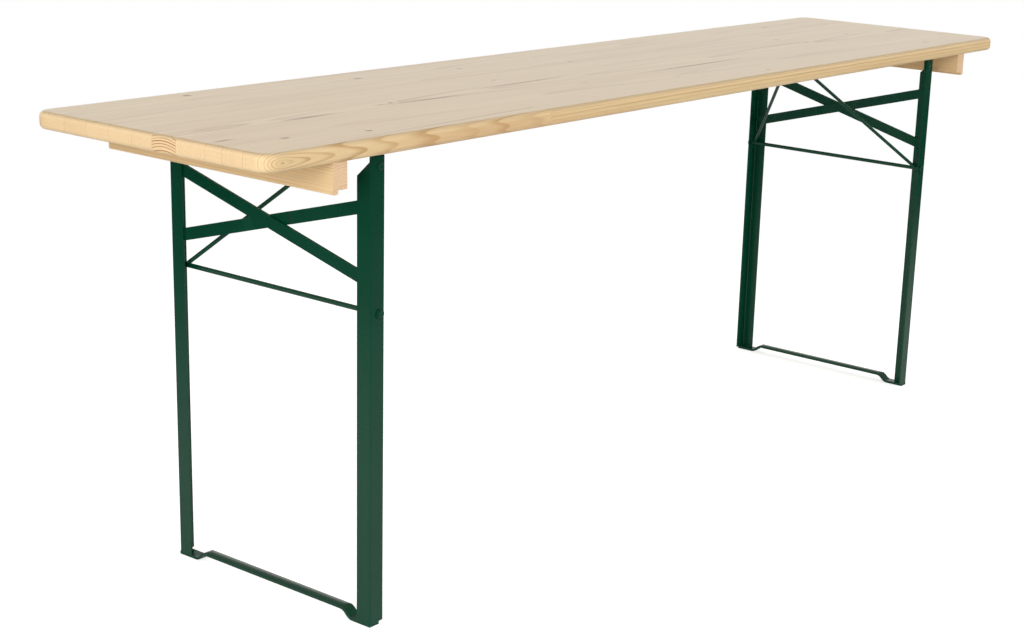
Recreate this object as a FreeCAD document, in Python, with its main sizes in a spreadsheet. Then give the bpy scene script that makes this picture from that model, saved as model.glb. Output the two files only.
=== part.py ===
import FreeCAD, Part
import os
import Sketcher
from FreeCAD import Placement, Rotation, Vector

# Folding trestle table: a softwood top on two steel trestles that fold flat under it.
# X runs along the table, Y across it and Z up. The origin is on the floor under the middle of the top.
# Left and right are the -X and +X ends, front and back the -Y and +Y sides. All sizes are in millimetres.
# The right-hand end is drawn, its back half where a piece comes in pairs, and mirrored to the other places.

SIZES = [
    # top
    ("table_length", 2200, "length of the top"),
    ("table_width", 500, "width of the top"),
    ("table_height", 770, "floor to the top's surface"),
    ("top_thickness", 27, "thickness of the boards"),
    ("corner_radius", 25, "rounding of the top's four corners, in plan"),
    ("edge_radius", 8, "rounding of the top's upper and lower edges"),
    # boards of the top from front to back, scaled together to fill its width
    ("board_01", 86, "first board"),
    ("board_02", 34, "second board"),
    ("board_03", 60, "third board"),
    ("board_04", 50, "fourth board"),
    ("board_05", 44, "fifth board"),
    ("board_06", 51, "sixth board"),
    ("board_07", 50, "seventh board"),
    ("board_08", 50, "eighth board"),
    ("board_09", 50, "ninth board"),
    ("board_10", 25, "tenth board"),
    # battens
    ("batten_setback", 132, "end of the top to the batten's outer face"),
    ("batten_inset", 7, "long edge of the top to the batten's end"),
    ("batten_thickness", 28, "batten along the table"),
    ("batten_depth", 46, "batten below the top"),
    ("rebate_width", 18, "rebate along the batten's inner lower edge"),
    ("rebate_depth", 6, "height of that rebate"),
    ("batten_easing", 2, "rounding of the batten's long outer edge"),
    # angle legs
    ("leg_setback", 231, "end of the top to the legs' end-facing flange"),
    ("leg_inset", 30, "long edge of the top to the legs' side flange"),
    ("angle_width", 28, "flange of the steel angle"),
    ("angle_wall", 3, "wall of the steel angle"),
    ("angle_heel", 2.5, "outer corner of the angle"),
    ("angle_root", 2.5, "inner corner of the angle"),
    ("angle_toe", 1.2, "inner edge of each flange"),
    # hinge between leg and top
    ("pin_drop", 23, "top's underside to the hinge pin"),
    ("pin_offset", 19, "end-facing flange to the hinge pin"),
    ("leg_head", 16, "leg above the hinge pin"),
    ("clip_low", 31, "top of the leg to the foot of the slope cut on its end-facing flange"),
    ("clip_high", 8, "top of the leg to the head of that slope"),
    ("rivet_diameter", 7, "hinge rivet"),
    ("rivet_head_diameter", 11.5, "head of the hinge rivet"),
    ("rivet_head_height", 2.8, "height of that head"),
    ("bracket_width", 22, "hinge bracket along the table"),
    ("bracket_wall", 3, "plate of the hinge bracket"),
    ("bracket_foot", 44, "foot of the bracket across the table"),
    ("bracket_tip_flat", 2, "flat left between the ear's rounded corners"),
    ("hinge_gap", 0.3, "side gap between bracket, leg and rivet head"),
    ("running_gap", 0.05, "radial clearance of pins in their holes"),
    # flat bars
    ("bar_width", 20, "flat bar of braces and feet"),
    ("bar_thickness", 4, "thickness of the braces"),
    ("bar_bend", 8, "radius of their bends"),
    ("brace_drop", 114, "hinge pin down to the crossing of the braces"),
    ("brace_rise", 114, "height between the two ends of one brace"),
    ("brace_end_gap", 6, "side flange to the end of a brace"),
    ("joggle_margin", 3, "raised middle of the inner brace beyond the crossing bar"),
    ("joggle_ramp", 16, "length of its slopes"),
    ("foot_rise", 13, "floor to the underside of the foot bar's middle"),
    ("foot_flat", 44.5, "foot bar on the floor, from the side flange inwards"),
    ("foot_ramp", 15, "slope of the foot bar, across the table"),
    ("foot_bend", 16, "radius of the foot bar's bends"),
    ("foot_thickness", 5, "thickness of the foot bar"),
    ("foot_crown", 40, "radius of the crowned upper face of the foot bar's middle"),
    # bail that props the trestle
    ("pivot_drop", 221, "hinge pin down to the bail's pivot rod"),
    ("rod_diameter", 8, "pivot rod of the bail"),
    ("loop_diameter", 7, "rod of the bail's loop"),
    ("bail_reach", 302, "pivot rod to the tip of the loop"),
    ("tip_radius", 20, "bend at the tip of the loop"),
    ("loop_inset", 8, "side flange to the foot of the loop"),
    ("washer_diameter", 16, "washer at the pivot rod's end"),
    ("washer_thickness", 1.5, "its thickness"),
    ("peen_diameter", 11, "peened end of the pivot rod"),
    ("peen_height", 2.5, "height of the peened end"),
    # leaf spring that holds the bail
    ("tip_drop", 19, "top's underside to the tip of the loop"),
    ("spring_thickness", 1.5, "leaf spring"),
    ("spring_width", 20, "its width"),
    ("spring_bend", 2, "radius of its bends"),
    ("spring_root", 46, "flat end of the leaf under the top"),
    ("spring_slope", 50, "sloping part of the leaf"),
    ("seat_depth", 26, "top's underside to the seat under the loop"),
    ("seat_back", 8, "loop to the slope of the leaf"),
    ("seat_front", 4.5, "loop to the hump of the leaf"),
    ("hump_rise", 14, "sharp tip of the hump above the seat, before it is rounded"),
    ("hump_run", 4, "slope of the hump, along the table"),
    ("tab_run", 8, "thumb tab, along the table"),
    ("tab_drop", 23, "thumb tab below that tip"),
    # wood screws
    ("screw_diameter", 5, "shank of the wood screws"),
    ("screw_head_diameter", 9, "their round heads"),
    ("screw_head_height", 3, "height of those heads"),
    ("screw_bite", 17, "length of a screw inside the top"),
    ("screw_gap", 0.25, "clearance of shanks in the brackets"),
    ("counterbore_diameter", 12, "holes for the screw heads in the battens"),
    ("counterbore_depth", 14, "depth of those holes from the batten's lower edge"),
    ("batten_screw_margin", 45, "end of the batten to its first screw"),
    ("bracket_screw_margin", 9, "inner edge of the bracket's foot to its first screw"),
    ("bracket_screw_pitch", 16, "distance between a bracket's two screws, across the table"),
    ("catch_screw_margin", 10, "end of the leaf to its first screw"),
    ("catch_screw_pitch", 24, "distance between a leaf's two screws"),
]
BOARDS = [alias for alias, _, _ in SIZES if alias.startswith("board_")]
BATTEN_SCREW_COUNT = 5
PAIR = 2
# share of a round head's height that its rim is rounded by
DOME_SHARE = 0.8

# Places worked out from the sizes, as expressions of the sheet.
UNDERSIDE = "(Sizes.table_height - Sizes.top_thickness)"
HALF_LENGTH = "(Sizes.table_length / 2)"
HALF_WIDTH = "(Sizes.table_width / 2)"
LEG_END = f"({HALF_LENGTH} - Sizes.leg_setback)"
LEG_SIDE = f"({HALF_WIDTH} - Sizes.leg_inset)"
FLANGE_END = f"({LEG_END} - Sizes.angle_wall)"
FLANGE_SIDE = f"({LEG_SIDE} - Sizes.angle_wall)"
PIN_X = f"({LEG_END} - Sizes.pin_offset)"
PIN_Z = f"({UNDERSIDE} - Sizes.pin_drop)"
LEG_TOP = f"({PIN_Z} + Sizes.leg_head)"
EAR_OUTSIDE = f"({FLANGE_SIDE} - Sizes.hinge_gap)"
EAR_INSIDE = f"({EAR_OUTSIDE} - Sizes.bracket_wall)"
BATTEN_OUTSIDE = f"({HALF_LENGTH} - Sizes.batten_setback)"
BATTEN_INSIDE = f"({BATTEN_OUTSIDE} - Sizes.batten_thickness)"
BATTEN_END = f"({HALF_WIDTH} - Sizes.batten_inset)"
BATTEN_BOTTOM = f"({UNDERSIDE} - Sizes.batten_depth)"
PIVOT_Z = f"({PIN_Z} - Sizes.pivot_drop)"
TIP_Z = f"({UNDERSIDE} - Sizes.tip_drop)"
BAIL_ANGLE = f"asin(({TIP_Z} - {PIVOT_Z}) / Sizes.bail_reach)"
TIP_X = f"({PIN_X} - Sizes.bail_reach * cos({BAIL_ANGLE}))"
WASHER_FACE = f"({LEG_SIDE} + Sizes.hinge_gap)"
PEEN_FACE = f"({WASHER_FACE} + Sizes.washer_thickness)"
BRACE_Z = f"({PIN_Z} - Sizes.brace_drop)"
BRACE_SPAN = f"(2 * ({FLANGE_SIDE} - Sizes.brace_end_gap))"
BRACE_ANGLE = f"atan(Sizes.brace_rise / {BRACE_SPAN})"
BRACE_LENGTH = f"(({BRACE_SPAN} - Sizes.bar_width * sin({BRACE_ANGLE})) / cos({BRACE_ANGLE}))"

doc = FreeCAD.newDocument("FoldingTrestleTable")
sheet = doc.addObject("Spreadsheet::Sheet", "Sizes")
for row, (alias, value, meaning) in enumerate(SIZES, start=1):
    sheet.set(f"A{row}", meaning)
    sheet.set(f"B{row}", str(value))
    sheet.setAlias(f"B{row}", alias)
doc.recompute()

nodes = []


def number(expression):
    """Value of an expression of the sheet, in millimetres or degrees."""
    result = sheet.evalExpression(expression)
    return float(getattr(result, "Value", result))


def keep(piece, label):
    """Names a finished piece and puts it on the list of those that are written."""
    piece.Label = label
    nodes.append(piece)
    return piece


def place(piece, x="0", y="0", z="0"):
    """Moves a piece to a point given by expressions."""
    for axis, expression in zip("xyz", (x, y, z)):
        piece.setExpression(f"Placement.Base.{axis}", expression)
    return piece


def turn(piece, axis, angle):
    """Turns a piece about an axis through its own origin, by an expression that replaces the first angle."""
    first_angle = 1
    piece.Placement = Placement(Vector(0, 0, 0), Rotation(axis, first_angle))
    piece.setExpression("Placement.Rotation.Angle", angle)


# Sketches

def plane_of(body, role):
    """One of a body's own origin planes."""
    return next(feature for feature in body.Origin.OriginFeatures if feature.Role == role)


def body_sketch(body, role, lift=None):
    """Empty sketch on an origin plane of its body, lifted along the plane's normal."""
    sketch = body.newObject("Sketcher::SketchObject", "Profile")
    sketch.AttachmentSupport = [(plane_of(body, role), "")]
    sketch.MapMode = "FlatFace"
    if lift:
        sketch.setExpression("AttachmentOffset.Base.z", lift)
    return sketch


def hold(sketch, axis, geometry, point, expression):
    """Ties one coordinate of a sketch point to an expression."""
    if expression == "0":
        other_axis = {"X": -2, "Y": -1}[axis]
        sketch.addConstraint(Sketcher.Constraint("PointOnObject", geometry, point, other_axis))
        return
    rule = Sketcher.Constraint(f"Distance{axis}", -1, 1, geometry, point, number(expression))
    sketch.setExpression(f"Constraints[{sketch.addConstraint(rule)}]", expression)


def draw_lines(sketch, points, closed=True):
    """Straight lines through points, each point held at its own two expressions."""
    corners = [Vector(number(x), number(y), 0) for x, y in points]
    ends = corners[1:] + corners[:1] if closed else corners[1:]
    lines = [sketch.addGeometry(Part.LineSegment(a, b), False) for a, b in zip(corners, ends)]
    followers = lines[1:] + lines[:1] if closed else lines[1:]
    for line, follower in zip(lines, followers):
        sketch.addConstraint(Sketcher.Constraint("Coincident", line, 2, follower, 1))
    held = [(line, 1) for line in lines] + ([] if closed else [(lines[-1], 2)])
    for (line, point), (x, y) in zip(held, points):
        hold(sketch, "X", line, point, x)
        hold(sketch, "Y", line, point, y)
    return sketch


def draw_circles(sketch, centres, radius):
    """Circles of one radius."""
    for x, y in centres:
        shape = Part.Circle(Vector(number(x), number(y), 0), Vector(0, 0, 1), number(radius))
        circle = sketch.addGeometry(shape, False)
        hold(sketch, "X", circle, 3, x)
        hold(sketch, "Y", circle, 3, y)
        rule = Sketcher.Constraint("Radius", circle, number(radius))
        sketch.setExpression(f"Constraints[{sketch.addConstraint(rule)}]", radius)
    return sketch


# Solid features

def new_body(name):
    """Empty body."""
    return doc.addObject("PartDesign::Body", name)


def pad(body, sketch, length, symmetric=False):
    """Raises a sketch to a solid."""
    feature = body.newObject("PartDesign::Pad", "Pad")
    feature.Profile = sketch
    feature.setExpression("Length", length)
    if symmetric:
        feature.SideType = "Symmetric"
    doc.recompute()
    return feature


def cut_through(body, sketch):
    """Cuts a sketch through the whole body, both ways, and makes sure that something went."""
    before = body.Shape.Volume
    feature = body.newObject("PartDesign::Pocket", "Cut")
    feature.Profile = sketch
    feature.SideType = "Symmetric"
    feature.Type = "ThroughAll"
    doc.recompute()
    if body.Shape.Volume >= before:
        raise RuntimeError(f"{body.Name}: a cut took nothing away")
    return feature


def revolve(body, sketch):
    """Turns a sketch once round its own vertical axis."""
    feature = body.newObject("PartDesign::Revolution", "Turned")
    feature.Profile = sketch
    feature.ReferenceAxis = (sketch, ["V_Axis"])
    feature.Angle = 360
    doc.recompute()
    return feature


def round_edges(body, radius, wanted):
    """Fillets every edge of the body's tip that the test picks."""
    base = body.Tip
    names = [f"Edge{i}" for i, edge in enumerate(base.Shape.Edges, start=1) if wanted(edge)]
    if not names:
        raise RuntimeError(f"{body.Name}: no edge to round")
    feature = body.newObject("PartDesign::Fillet", "Rounding")
    feature.Base = (base, names)
    feature.setExpression("Radius", radius)
    doc.recompute()
    return feature


def box_near(edge, low, high, slack=0.01):
    """Whether an edge's box lies between two corners; None leaves a direction free."""
    limits = edge.BoundBox
    lows = (limits.XMin, limits.YMin, limits.ZMin)
    highs = (limits.XMax, limits.YMax, limits.ZMax)
    low_ok = all(want is None or have >= want - slack for have, want in zip(lows, low))
    high_ok = all(want is None or have <= want + slack for have, want in zip(highs, high))
    return low_ok and high_ok


def round_bends(sketch, radius):
    """Rounds every corner of an open line; the sharp corners stay as the points that hold it."""
    for line in range(sketch.GeometryCount - 1):
        arc = sketch.GeometryCount
        sketch.fillet(line, 2, number(radius), True, True)
        rule = Sketcher.Constraint("Radius", arc, number(radius))
        sketch.setExpression(f"Constraints[{sketch.addConstraint(rule)}]", radius)


def strip(name, rotation, points, thickness, width, bend, direction, offset=None):
    """Flat bar bent along a line of points: the line thickened to one side and drawn out sideways."""
    line = doc.addObject("Sketcher::SketchObject", f"{name}_line")
    line.Placement = Placement(Vector(0, 0, 0), rotation)
    if offset:
        place(line, x=offset)
    round_bends(draw_lines(line, points, closed=False), bend)
    section = doc.addObject("Part::Offset2D", f"{name}_section")
    section.Source = line
    section.setExpression("Value", thickness)
    section.Fill = True
    section.Mode = "Skin"
    solid = doc.addObject("Part::Extrusion", name)
    solid.Base = section
    solid.DirMode = "Custom"
    solid.Dir = direction
    solid.setExpression("LengthFwd", width)
    solid.Symmetric = True
    solid.Solid = True
    doc.recompute()
    return solid


def cut(name, base, tool):
    """One piece with another's shape taken out of it."""
    feature = doc.addObject("Part::Cut", name)
    feature.Base = base
    feature.Tool = tool
    doc.recompute()
    return feature


def common(name, base, tool):
    """The part of one piece that lies inside another's shape."""
    feature = doc.addObject("Part::Common", name)
    feature.Base = base
    feature.Tool = tool
    doc.recompute()
    return feature


def mirror(source, normal, label=None):
    """Mirror image in a plane through the origin, kept as a piece where it has a label."""
    feature = doc.addObject("Part::Mirroring", f"{source.Name}_mirrored")
    feature.Source = source
    feature.Normal = normal
    doc.recompute()
    return keep(feature, label) if label else feature


def group(name, pieces):
    """Separate solids held together as one piece."""
    feature = doc.addObject("Part::Compound", name)
    feature.Links = pieces
    doc.recompute()
    return feature


TO_LEFT = Vector(1, 0, 0)
TO_FRONT = Vector(0, 1, 0)
SKETCH_IN_XZ = Rotation(Vector(1, 0, 0), 90)
SKETCH_IN_YZ = Rotation(Vector(1, 1, 1), 120)


def lying_cylinder(name, radius):
    """Cylinder across the table from leg to leg, to shape other pieces with."""
    cylinder = doc.addObject("Part::Cylinder", name)
    cylinder.setExpression("Radius", radius)
    cylinder.setExpression("Height", f"2 * {LEG_SIDE}")
    cylinder.Placement = Placement(Vector(0, 0, 0), SKETCH_IN_XZ)
    return cylinder


def keep_ends(piece, stem):
    """Keeps a right-hand piece and its left-hand mirror image."""
    keep(piece, f"{stem}_right")
    mirror(piece, TO_LEFT, f"{stem}_left")


def keep_corners(piece, stem):
    """Keeps a right-hand back piece and its three mirror images."""
    keep(piece, f"{stem}_right_back")
    front = mirror(piece, TO_FRONT, f"{stem}_right_front")
    mirror(piece, TO_LEFT, f"{stem}_left_back")
    mirror(front, TO_LEFT, f"{stem}_left_front")


# Wood screws

def screw(name, seat):
    """Round-headed wood screw along Z, its head bearing at the given height and its tip in the top."""
    body = new_body(name)
    tip = f"({UNDERSIDE} + Sizes.screw_bite)"
    head_bottom = f"({seat} - Sizes.screw_head_height)"
    shank = "(Sizes.screw_diameter / 2)"
    head = "(Sizes.screw_head_diameter / 2)"
    outline = [("0", head_bottom), (head, head_bottom), (head, seat), (shank, seat)]
    outline += [(shank, f"({tip} - {shank})"), ("0", tip)]
    revolve(body, draw_lines(body_sketch(body, "XZ_Plane"), outline))
    dome = f"(Sizes.screw_head_height * {DOME_SHARE})"
    bottom = number(head_bottom)
    round_edges(body, dome, lambda edge: box_near(edge, (None, None, bottom), (None, None, bottom)))
    return body


SCREW_BATTEN_X = f"({BATTEN_INSIDE} + Sizes.rebate_width / 2)"
BATTEN_SCREW_Y = f"({BATTEN_END} - Sizes.batten_screw_margin)"
BATTEN_SEAT = f"({BATTEN_BOTTOM} + Sizes.counterbore_depth)"


def batten_screw_y(index):
    """Place of one of a batten's screws across the table."""
    return f"({BATTEN_SCREW_Y} * ({index} * 2 / {BATTEN_SCREW_COUNT - 1} - 1))"


def make_batten_screws():
    """Row of screws up through each batten."""
    row = []
    for index in range(BATTEN_SCREW_COUNT):
        row.append(place(screw("BattenScrew", BATTEN_SEAT), SCREW_BATTEN_X, batten_screw_y(index)))
    right = group("BattenScrewRow", row)
    return keep(group("BattenScrews", [right, mirror(right, TO_LEFT)]), "batten_screws")


BRACKET_SEAT = f"({UNDERSIDE} - Sizes.bracket_wall)"
BRACKET_SCREW_Y = f"({EAR_OUTSIDE} - Sizes.bracket_foot + Sizes.bracket_screw_margin)"


def bracket_screw_y(index):
    """Place of one of a bracket's two screws across the table."""
    return f"({BRACKET_SCREW_Y} + {index} * Sizes.bracket_screw_pitch)"


def make_bracket_screws():
    """Two screws in each hinge bracket."""
    pair = []
    for index in range(PAIR):
        pair.append(place(screw("BracketScrew", BRACKET_SEAT), PIN_X, bracket_screw_y(index)))
    back = group("BracketScrewPair", pair)
    right = group("BracketScrewsRight", [back, mirror(back, TO_FRONT)])
    return keep(group("BracketScrews", [right, mirror(right, TO_LEFT)]), "bracket_screws")


SPRING_ROOT = f"({TIP_X} + Sizes.seat_back + Sizes.spring_slope)"
SPRING_END = f"({SPRING_ROOT} + Sizes.spring_root)"
CATCH_SEAT = f"({UNDERSIDE} - Sizes.spring_thickness)"


def make_catch_screws():
    """Two screws in the root of each leaf spring."""
    row = []
    for index in range(PAIR):
        x = f"({SPRING_END} - Sizes.catch_screw_margin - {index} * Sizes.catch_screw_pitch)"
        row.append(place(screw("CatchScrew", CATCH_SEAT), x))
    right = group("CatchScrewPair", row)
    return keep(group("CatchScrews", [right, mirror(right, TO_LEFT)]), "catch_screws")


# Table top

def make_top(screws):
    """Edge-glued boards: one rounded slab, drilled for the screws and parted along the glue lines."""
    slab = new_body("Slab")
    outline = [(HALF_LENGTH, HALF_WIDTH), (f"-{HALF_LENGTH}", HALF_WIDTH)]
    outline += [(f"-{HALF_LENGTH}", f"-{HALF_WIDTH}"), (HALF_LENGTH, f"-{HALF_WIDTH}")]
    pad(slab, draw_lines(body_sketch(slab, "XY_Plane", UNDERSIDE), outline), "Sizes.top_thickness")
    upright = number("Sizes.top_thickness / 2")
    round_edges(slab, "Sizes.corner_radius", lambda edge: edge.BoundBox.ZLength > upright)
    round_edges(slab, "Sizes.edge_radius", lambda edge: edge.BoundBox.ZLength < upright)
    drilled = slab
    for piece in screws:
        drilled = cut("Drilled", drilled, piece)
    total = " + ".join(f"Sizes.{board}" for board in BOARDS)
    start = f"-{HALF_WIDTH}"
    for index, board in enumerate(BOARDS, start=1):
        block = doc.addObject("Part::Box", "StaveBlock")
        block.setExpression("Length", "Sizes.table_length")
        block.setExpression("Width", f"Sizes.table_width * Sizes.{board} / ({total})")
        block.setExpression("Height", "Sizes.top_thickness")
        place(block, f"-{HALF_LENGTH}", start, UNDERSIDE)
        start = f"{block.Name}.Placement.Base.y + {block.Name}.Width"
        keep(common("Stave", drilled, block), f"top_stave_{index:02d}")


def make_battens(screws):
    """Cross battens with a rebate along the inner lower edge and deep holes for the screw heads."""
    body = new_body("Batten")
    step = f"({BATTEN_INSIDE} + Sizes.rebate_width)"
    shoulder = f"({BATTEN_BOTTOM} + Sizes.rebate_depth)"
    outline = [(BATTEN_OUTSIDE, UNDERSIDE), (BATTEN_INSIDE, UNDERSIDE), (BATTEN_INSIDE, shoulder)]
    outline += [(step, shoulder), (step, BATTEN_BOTTOM), (BATTEN_OUTSIDE, BATTEN_BOTTOM)]
    pad(body, draw_lines(body_sketch(body, "XZ_Plane"), outline), f"2 * {BATTEN_END}", symmetric=True)
    corner = (number(BATTEN_OUTSIDE), None, number(BATTEN_BOTTOM))
    round_edges(body, "Sizes.batten_easing", lambda edge: box_near(edge, corner, corner))
    holes = [(SCREW_BATTEN_X, batten_screw_y(index)) for index in range(BATTEN_SCREW_COUNT)]
    bore = "(Sizes.counterbore_diameter / 2)"
    sketch = draw_circles(body_sketch(body, "XY_Plane", BATTEN_SEAT), holes, bore)
    before = body.Shape.Volume
    pocket = body.newObject("PartDesign::Pocket", "Counterbore")
    pocket.Profile = sketch
    pocket.setExpression("Length", "Sizes.counterbore_depth")
    doc.recompute()
    if body.Shape.Volume >= before:
        raise RuntimeError("the battens' counterbores took nothing away")
    keep_ends(cut("BattenDrilled", body, screws), "end_batten")


# Hinges and catches under the top

def make_brackets():
    """L plates under the top; the legs hang on their rounded ears."""
    body = new_body("Bracket")
    foot = f"({EAR_OUTSIDE} - Sizes.bracket_foot)"
    below = f"({UNDERSIDE} - Sizes.bracket_wall)"
    tip = f"({PIN_Z} - Sizes.bracket_width / 2)"
    outline = [(EAR_OUTSIDE, UNDERSIDE), (foot, UNDERSIDE), (foot, below)]
    outline += [(EAR_INSIDE, below), (EAR_INSIDE, tip), (EAR_OUTSIDE, tip)]
    sketch = draw_lines(body_sketch(body, "YZ_Plane", PIN_X), outline)
    pad(body, sketch, "Sizes.bracket_width", symmetric=True)
    low = number(tip)
    end_corner = number("Sizes.bracket_wall / 2")
    round_edges(body, "(Sizes.bracket_width - Sizes.bracket_tip_flat) / 2",
                lambda edge: box_near(edge, (None, None, low), (None, None, low))
                and edge.BoundBox.YLength > end_corner)
    bend = (None, number(EAR_OUTSIDE), number(UNDERSIDE))
    round_edges(body, "Sizes.bracket_wall", lambda edge: box_near(edge, bend, bend))
    pin = "(Sizes.rivet_diameter / 2 + Sizes.running_gap)"
    cut_through(body, draw_circles(body_sketch(body, "XZ_Plane"), [(PIN_X, PIN_Z)], pin))
    shank = "(Sizes.screw_diameter / 2 + Sizes.screw_gap)"
    places = [(PIN_X, bracket_screw_y(index)) for index in range(PAIR)]
    cut_through(body, draw_circles(body_sketch(body, "XY_Plane"), places, shank))
    keep_corners(body, "hinge_bracket")


def make_catch_springs(screws):
    """Leaf springs: a flat root, a slope down through the loop, a seat, a hump and a thumb tab."""
    seat = f"({UNDERSIDE} - Sizes.seat_depth)"
    hump = f"({seat} + Sizes.hump_rise)"
    hump_foot = f"({TIP_X} - Sizes.seat_front)"
    hump_top = f"({hump_foot} - Sizes.hump_run)"
    points = [(SPRING_END, UNDERSIDE), (SPRING_ROOT, UNDERSIDE), (f"({TIP_X} + Sizes.seat_back)", seat)]
    points += [(hump_foot, seat), (hump_top, hump)]
    points += [(f"({hump_top} - Sizes.tab_run)", f"({hump} - Sizes.tab_drop)")]
    leaf = strip("Leaf", SKETCH_IN_XZ, points, "Sizes.spring_thickness", "Sizes.spring_width",
                 "Sizes.spring_bend", TO_FRONT)
    keep_ends(cut("LeafDrilled", leaf, screws), "catch_spring")


# Trestles

def make_legs():
    """Steel angles, heel outwards, with the end-facing flange cut back at the top."""
    body = new_body("Leg")
    edge_end = f"({LEG_END} - Sizes.angle_width)"
    edge_side = f"({LEG_SIDE} - Sizes.angle_width)"
    outline = [(LEG_END, LEG_SIDE), (edge_end, LEG_SIDE), (edge_end, FLANGE_SIDE), (FLANGE_END, FLANGE_SIDE)]
    outline += [(FLANGE_END, edge_side), (LEG_END, edge_side)]
    sketch = draw_lines(body_sketch(body, "XY_Plane", "Sizes.foot_thickness"), outline)
    pad(body, sketch, f"{LEG_TOP} - Sizes.foot_thickness")
    heel = (number(LEG_END), number(LEG_SIDE), None)
    root = (number(FLANGE_END), number(FLANGE_SIDE), None)
    round_edges(body, "Sizes.angle_heel", lambda edge: box_near(edge, heel, heel))
    round_edges(body, "Sizes.angle_root", lambda edge: box_near(edge, root, root))
    toes = [(number(edge_end), number(FLANGE_SIDE), None), (number(FLANGE_END), number(edge_side), None)]
    round_edges(body, "Sizes.angle_toe", lambda edge: any(box_near(edge, toe, toe) for toe in toes))
    clipped = [(edge_side, f"({LEG_TOP} - Sizes.clip_low)"), (FLANGE_SIDE, f"({LEG_TOP} - Sizes.clip_high)")]
    clipped += [(FLANGE_SIDE, LEG_TOP), (edge_side, LEG_TOP)]
    cut_through(body, draw_lines(body_sketch(body, "YZ_Plane"), clipped))
    pin = "(Sizes.rivet_diameter / 2)"
    cut_through(body, draw_circles(body_sketch(body, "XZ_Plane"), [(PIN_X, PIN_Z)], pin))
    rod = "(Sizes.rod_diameter / 2 + Sizes.running_gap)"
    cut_through(body, draw_circles(body_sketch(body, "XZ_Plane"), [(PIN_X, PIVOT_Z)], rod))
    keep_corners(body, "leg")


def lean_brace(bar, angle, name):
    """Turns a level brace to its slope, seats it on the legs' flanges and keeps one for each end."""
    turn(bar, Vector(1, 0, 0), angle)
    place(bar, x=FLANGE_END, z=BRACE_Z)
    doc.recompute()
    keep(bar, f"brace_right_{name}")
    mirror(bar, TO_LEFT, f"brace_left_{name}")


def make_braces():
    """The X of two flat bars on the end-facing flanges; the inner one is joggled over the outer one."""
    half = f"({BRACE_LENGTH} / 2)"
    outer = new_body("BraceOuter")
    face = "-Sizes.bar_thickness"
    outline = [("0", half), (face, half), (face, f"-{half}"), ("0", f"-{half}")]
    pad(outer, draw_lines(body_sketch(outer, "XY_Plane"), outline), "Sizes.bar_width", symmetric=True)
    lean_brace(outer, BRACE_ANGLE, "outer")
    flat = f"(Sizes.bar_width / 2 / tan({BRACE_ANGLE}) + Sizes.joggle_margin)"
    ramp = f"({flat} + Sizes.joggle_ramp)"
    arm = [("0", half), ("0", ramp), (face, flat)]
    points = arm + [(x, f"-{y}") for x, y in reversed(arm)]
    level = Rotation()
    inner = strip("BraceInner", level, points, "Sizes.bar_thickness", "Sizes.bar_width",
                  "Sizes.bar_bend", Vector(0, 0, 1))
    lean_brace(inner, f"-{BRACE_ANGLE}", "inner")


def make_foot_bars():
    """Flat bars across the feet, flat on the floor under the legs, raised and crowned between them."""
    flat = f"({LEG_SIDE} - Sizes.foot_flat)"
    raised = f"({flat} - Sizes.foot_ramp)"
    half = [(LEG_SIDE, "0"), (flat, "0"), (raised, "Sizes.foot_rise")]
    points = half + [(f"-{y}", z) for y, z in reversed(half)]
    middle = f"({LEG_END} - Sizes.bar_width / 2)"
    bar = strip("FootBar", SKETCH_IN_YZ, points, "Sizes.foot_thickness", "Sizes.bar_width",
                "Sizes.foot_bend", TO_LEFT, middle)
    crown = lying_cylinder("FootCrown", "Sizes.foot_crown")
    place(crown, middle, LEG_SIDE, "(Sizes.foot_rise + Sizes.foot_thickness - Sizes.foot_crown)")
    keep_ends(common("FootBarCrowned", bar, crown), "foot_bar")


def make_hinge_rivets():
    """Rivets through leg and bracket ear, tight in the leg and free in the ear."""
    body = new_body("Rivet")
    shank = "(Sizes.rivet_diameter / 2)"
    head = "(Sizes.rivet_head_diameter / 2)"
    inner_face = f"({EAR_INSIDE} - Sizes.hinge_gap)"
    inner_end = f"({inner_face} - Sizes.rivet_head_height)"
    outer_end = f"({LEG_SIDE} + Sizes.rivet_head_height)"
    outline = [("0", inner_end), (head, inner_end), (head, inner_face), (shank, inner_face)]
    outline += [(shank, LEG_SIDE), (head, LEG_SIDE), (head, outer_end), ("0", outer_end)]
    revolve(body, draw_lines(body_sketch(body, "XY_Plane"), outline))
    rims = [number(inner_end), number(outer_end)]
    round_edges(body, f"(Sizes.rivet_head_height * {DOME_SHARE})",
                lambda edge: any(box_near(edge, (None, y, None), (None, y, None)) for y in rims))
    place(body, PIN_X, "0", PIN_Z)
    keep_ends(group("HingeRivets", [body, mirror(body, TO_FRONT)]), "hinge_rivets")


# Bails

def make_pivot_rods():
    """Round rods across the legs that the bails turn on, peened over a washer at each end."""
    body = new_body("PivotRod")
    rod = "(Sizes.rod_diameter / 2)"
    peen = "(Sizes.peen_diameter / 2)"
    end = f"({PEEN_FACE} + Sizes.peen_height)"
    outline = [("0", f"-{end}"), (peen, f"-{end}"), (peen, f"-{PEEN_FACE}"), (rod, f"-{PEEN_FACE}")]
    outline += [(rod, PEEN_FACE), (peen, PEEN_FACE), (peen, end), ("0", end)]
    revolve(body, draw_lines(body_sketch(body, "XY_Plane"), outline))
    rims = [-number(end), number(end)]
    round_edges(body, f"(Sizes.peen_height * {DOME_SHARE})",
                lambda edge: any(box_near(edge, (None, y, None), (None, y, None)) for y in rims))
    keep_ends(place(body, PIN_X, "0", PIVOT_Z), "bail_pivot_rod")


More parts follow.
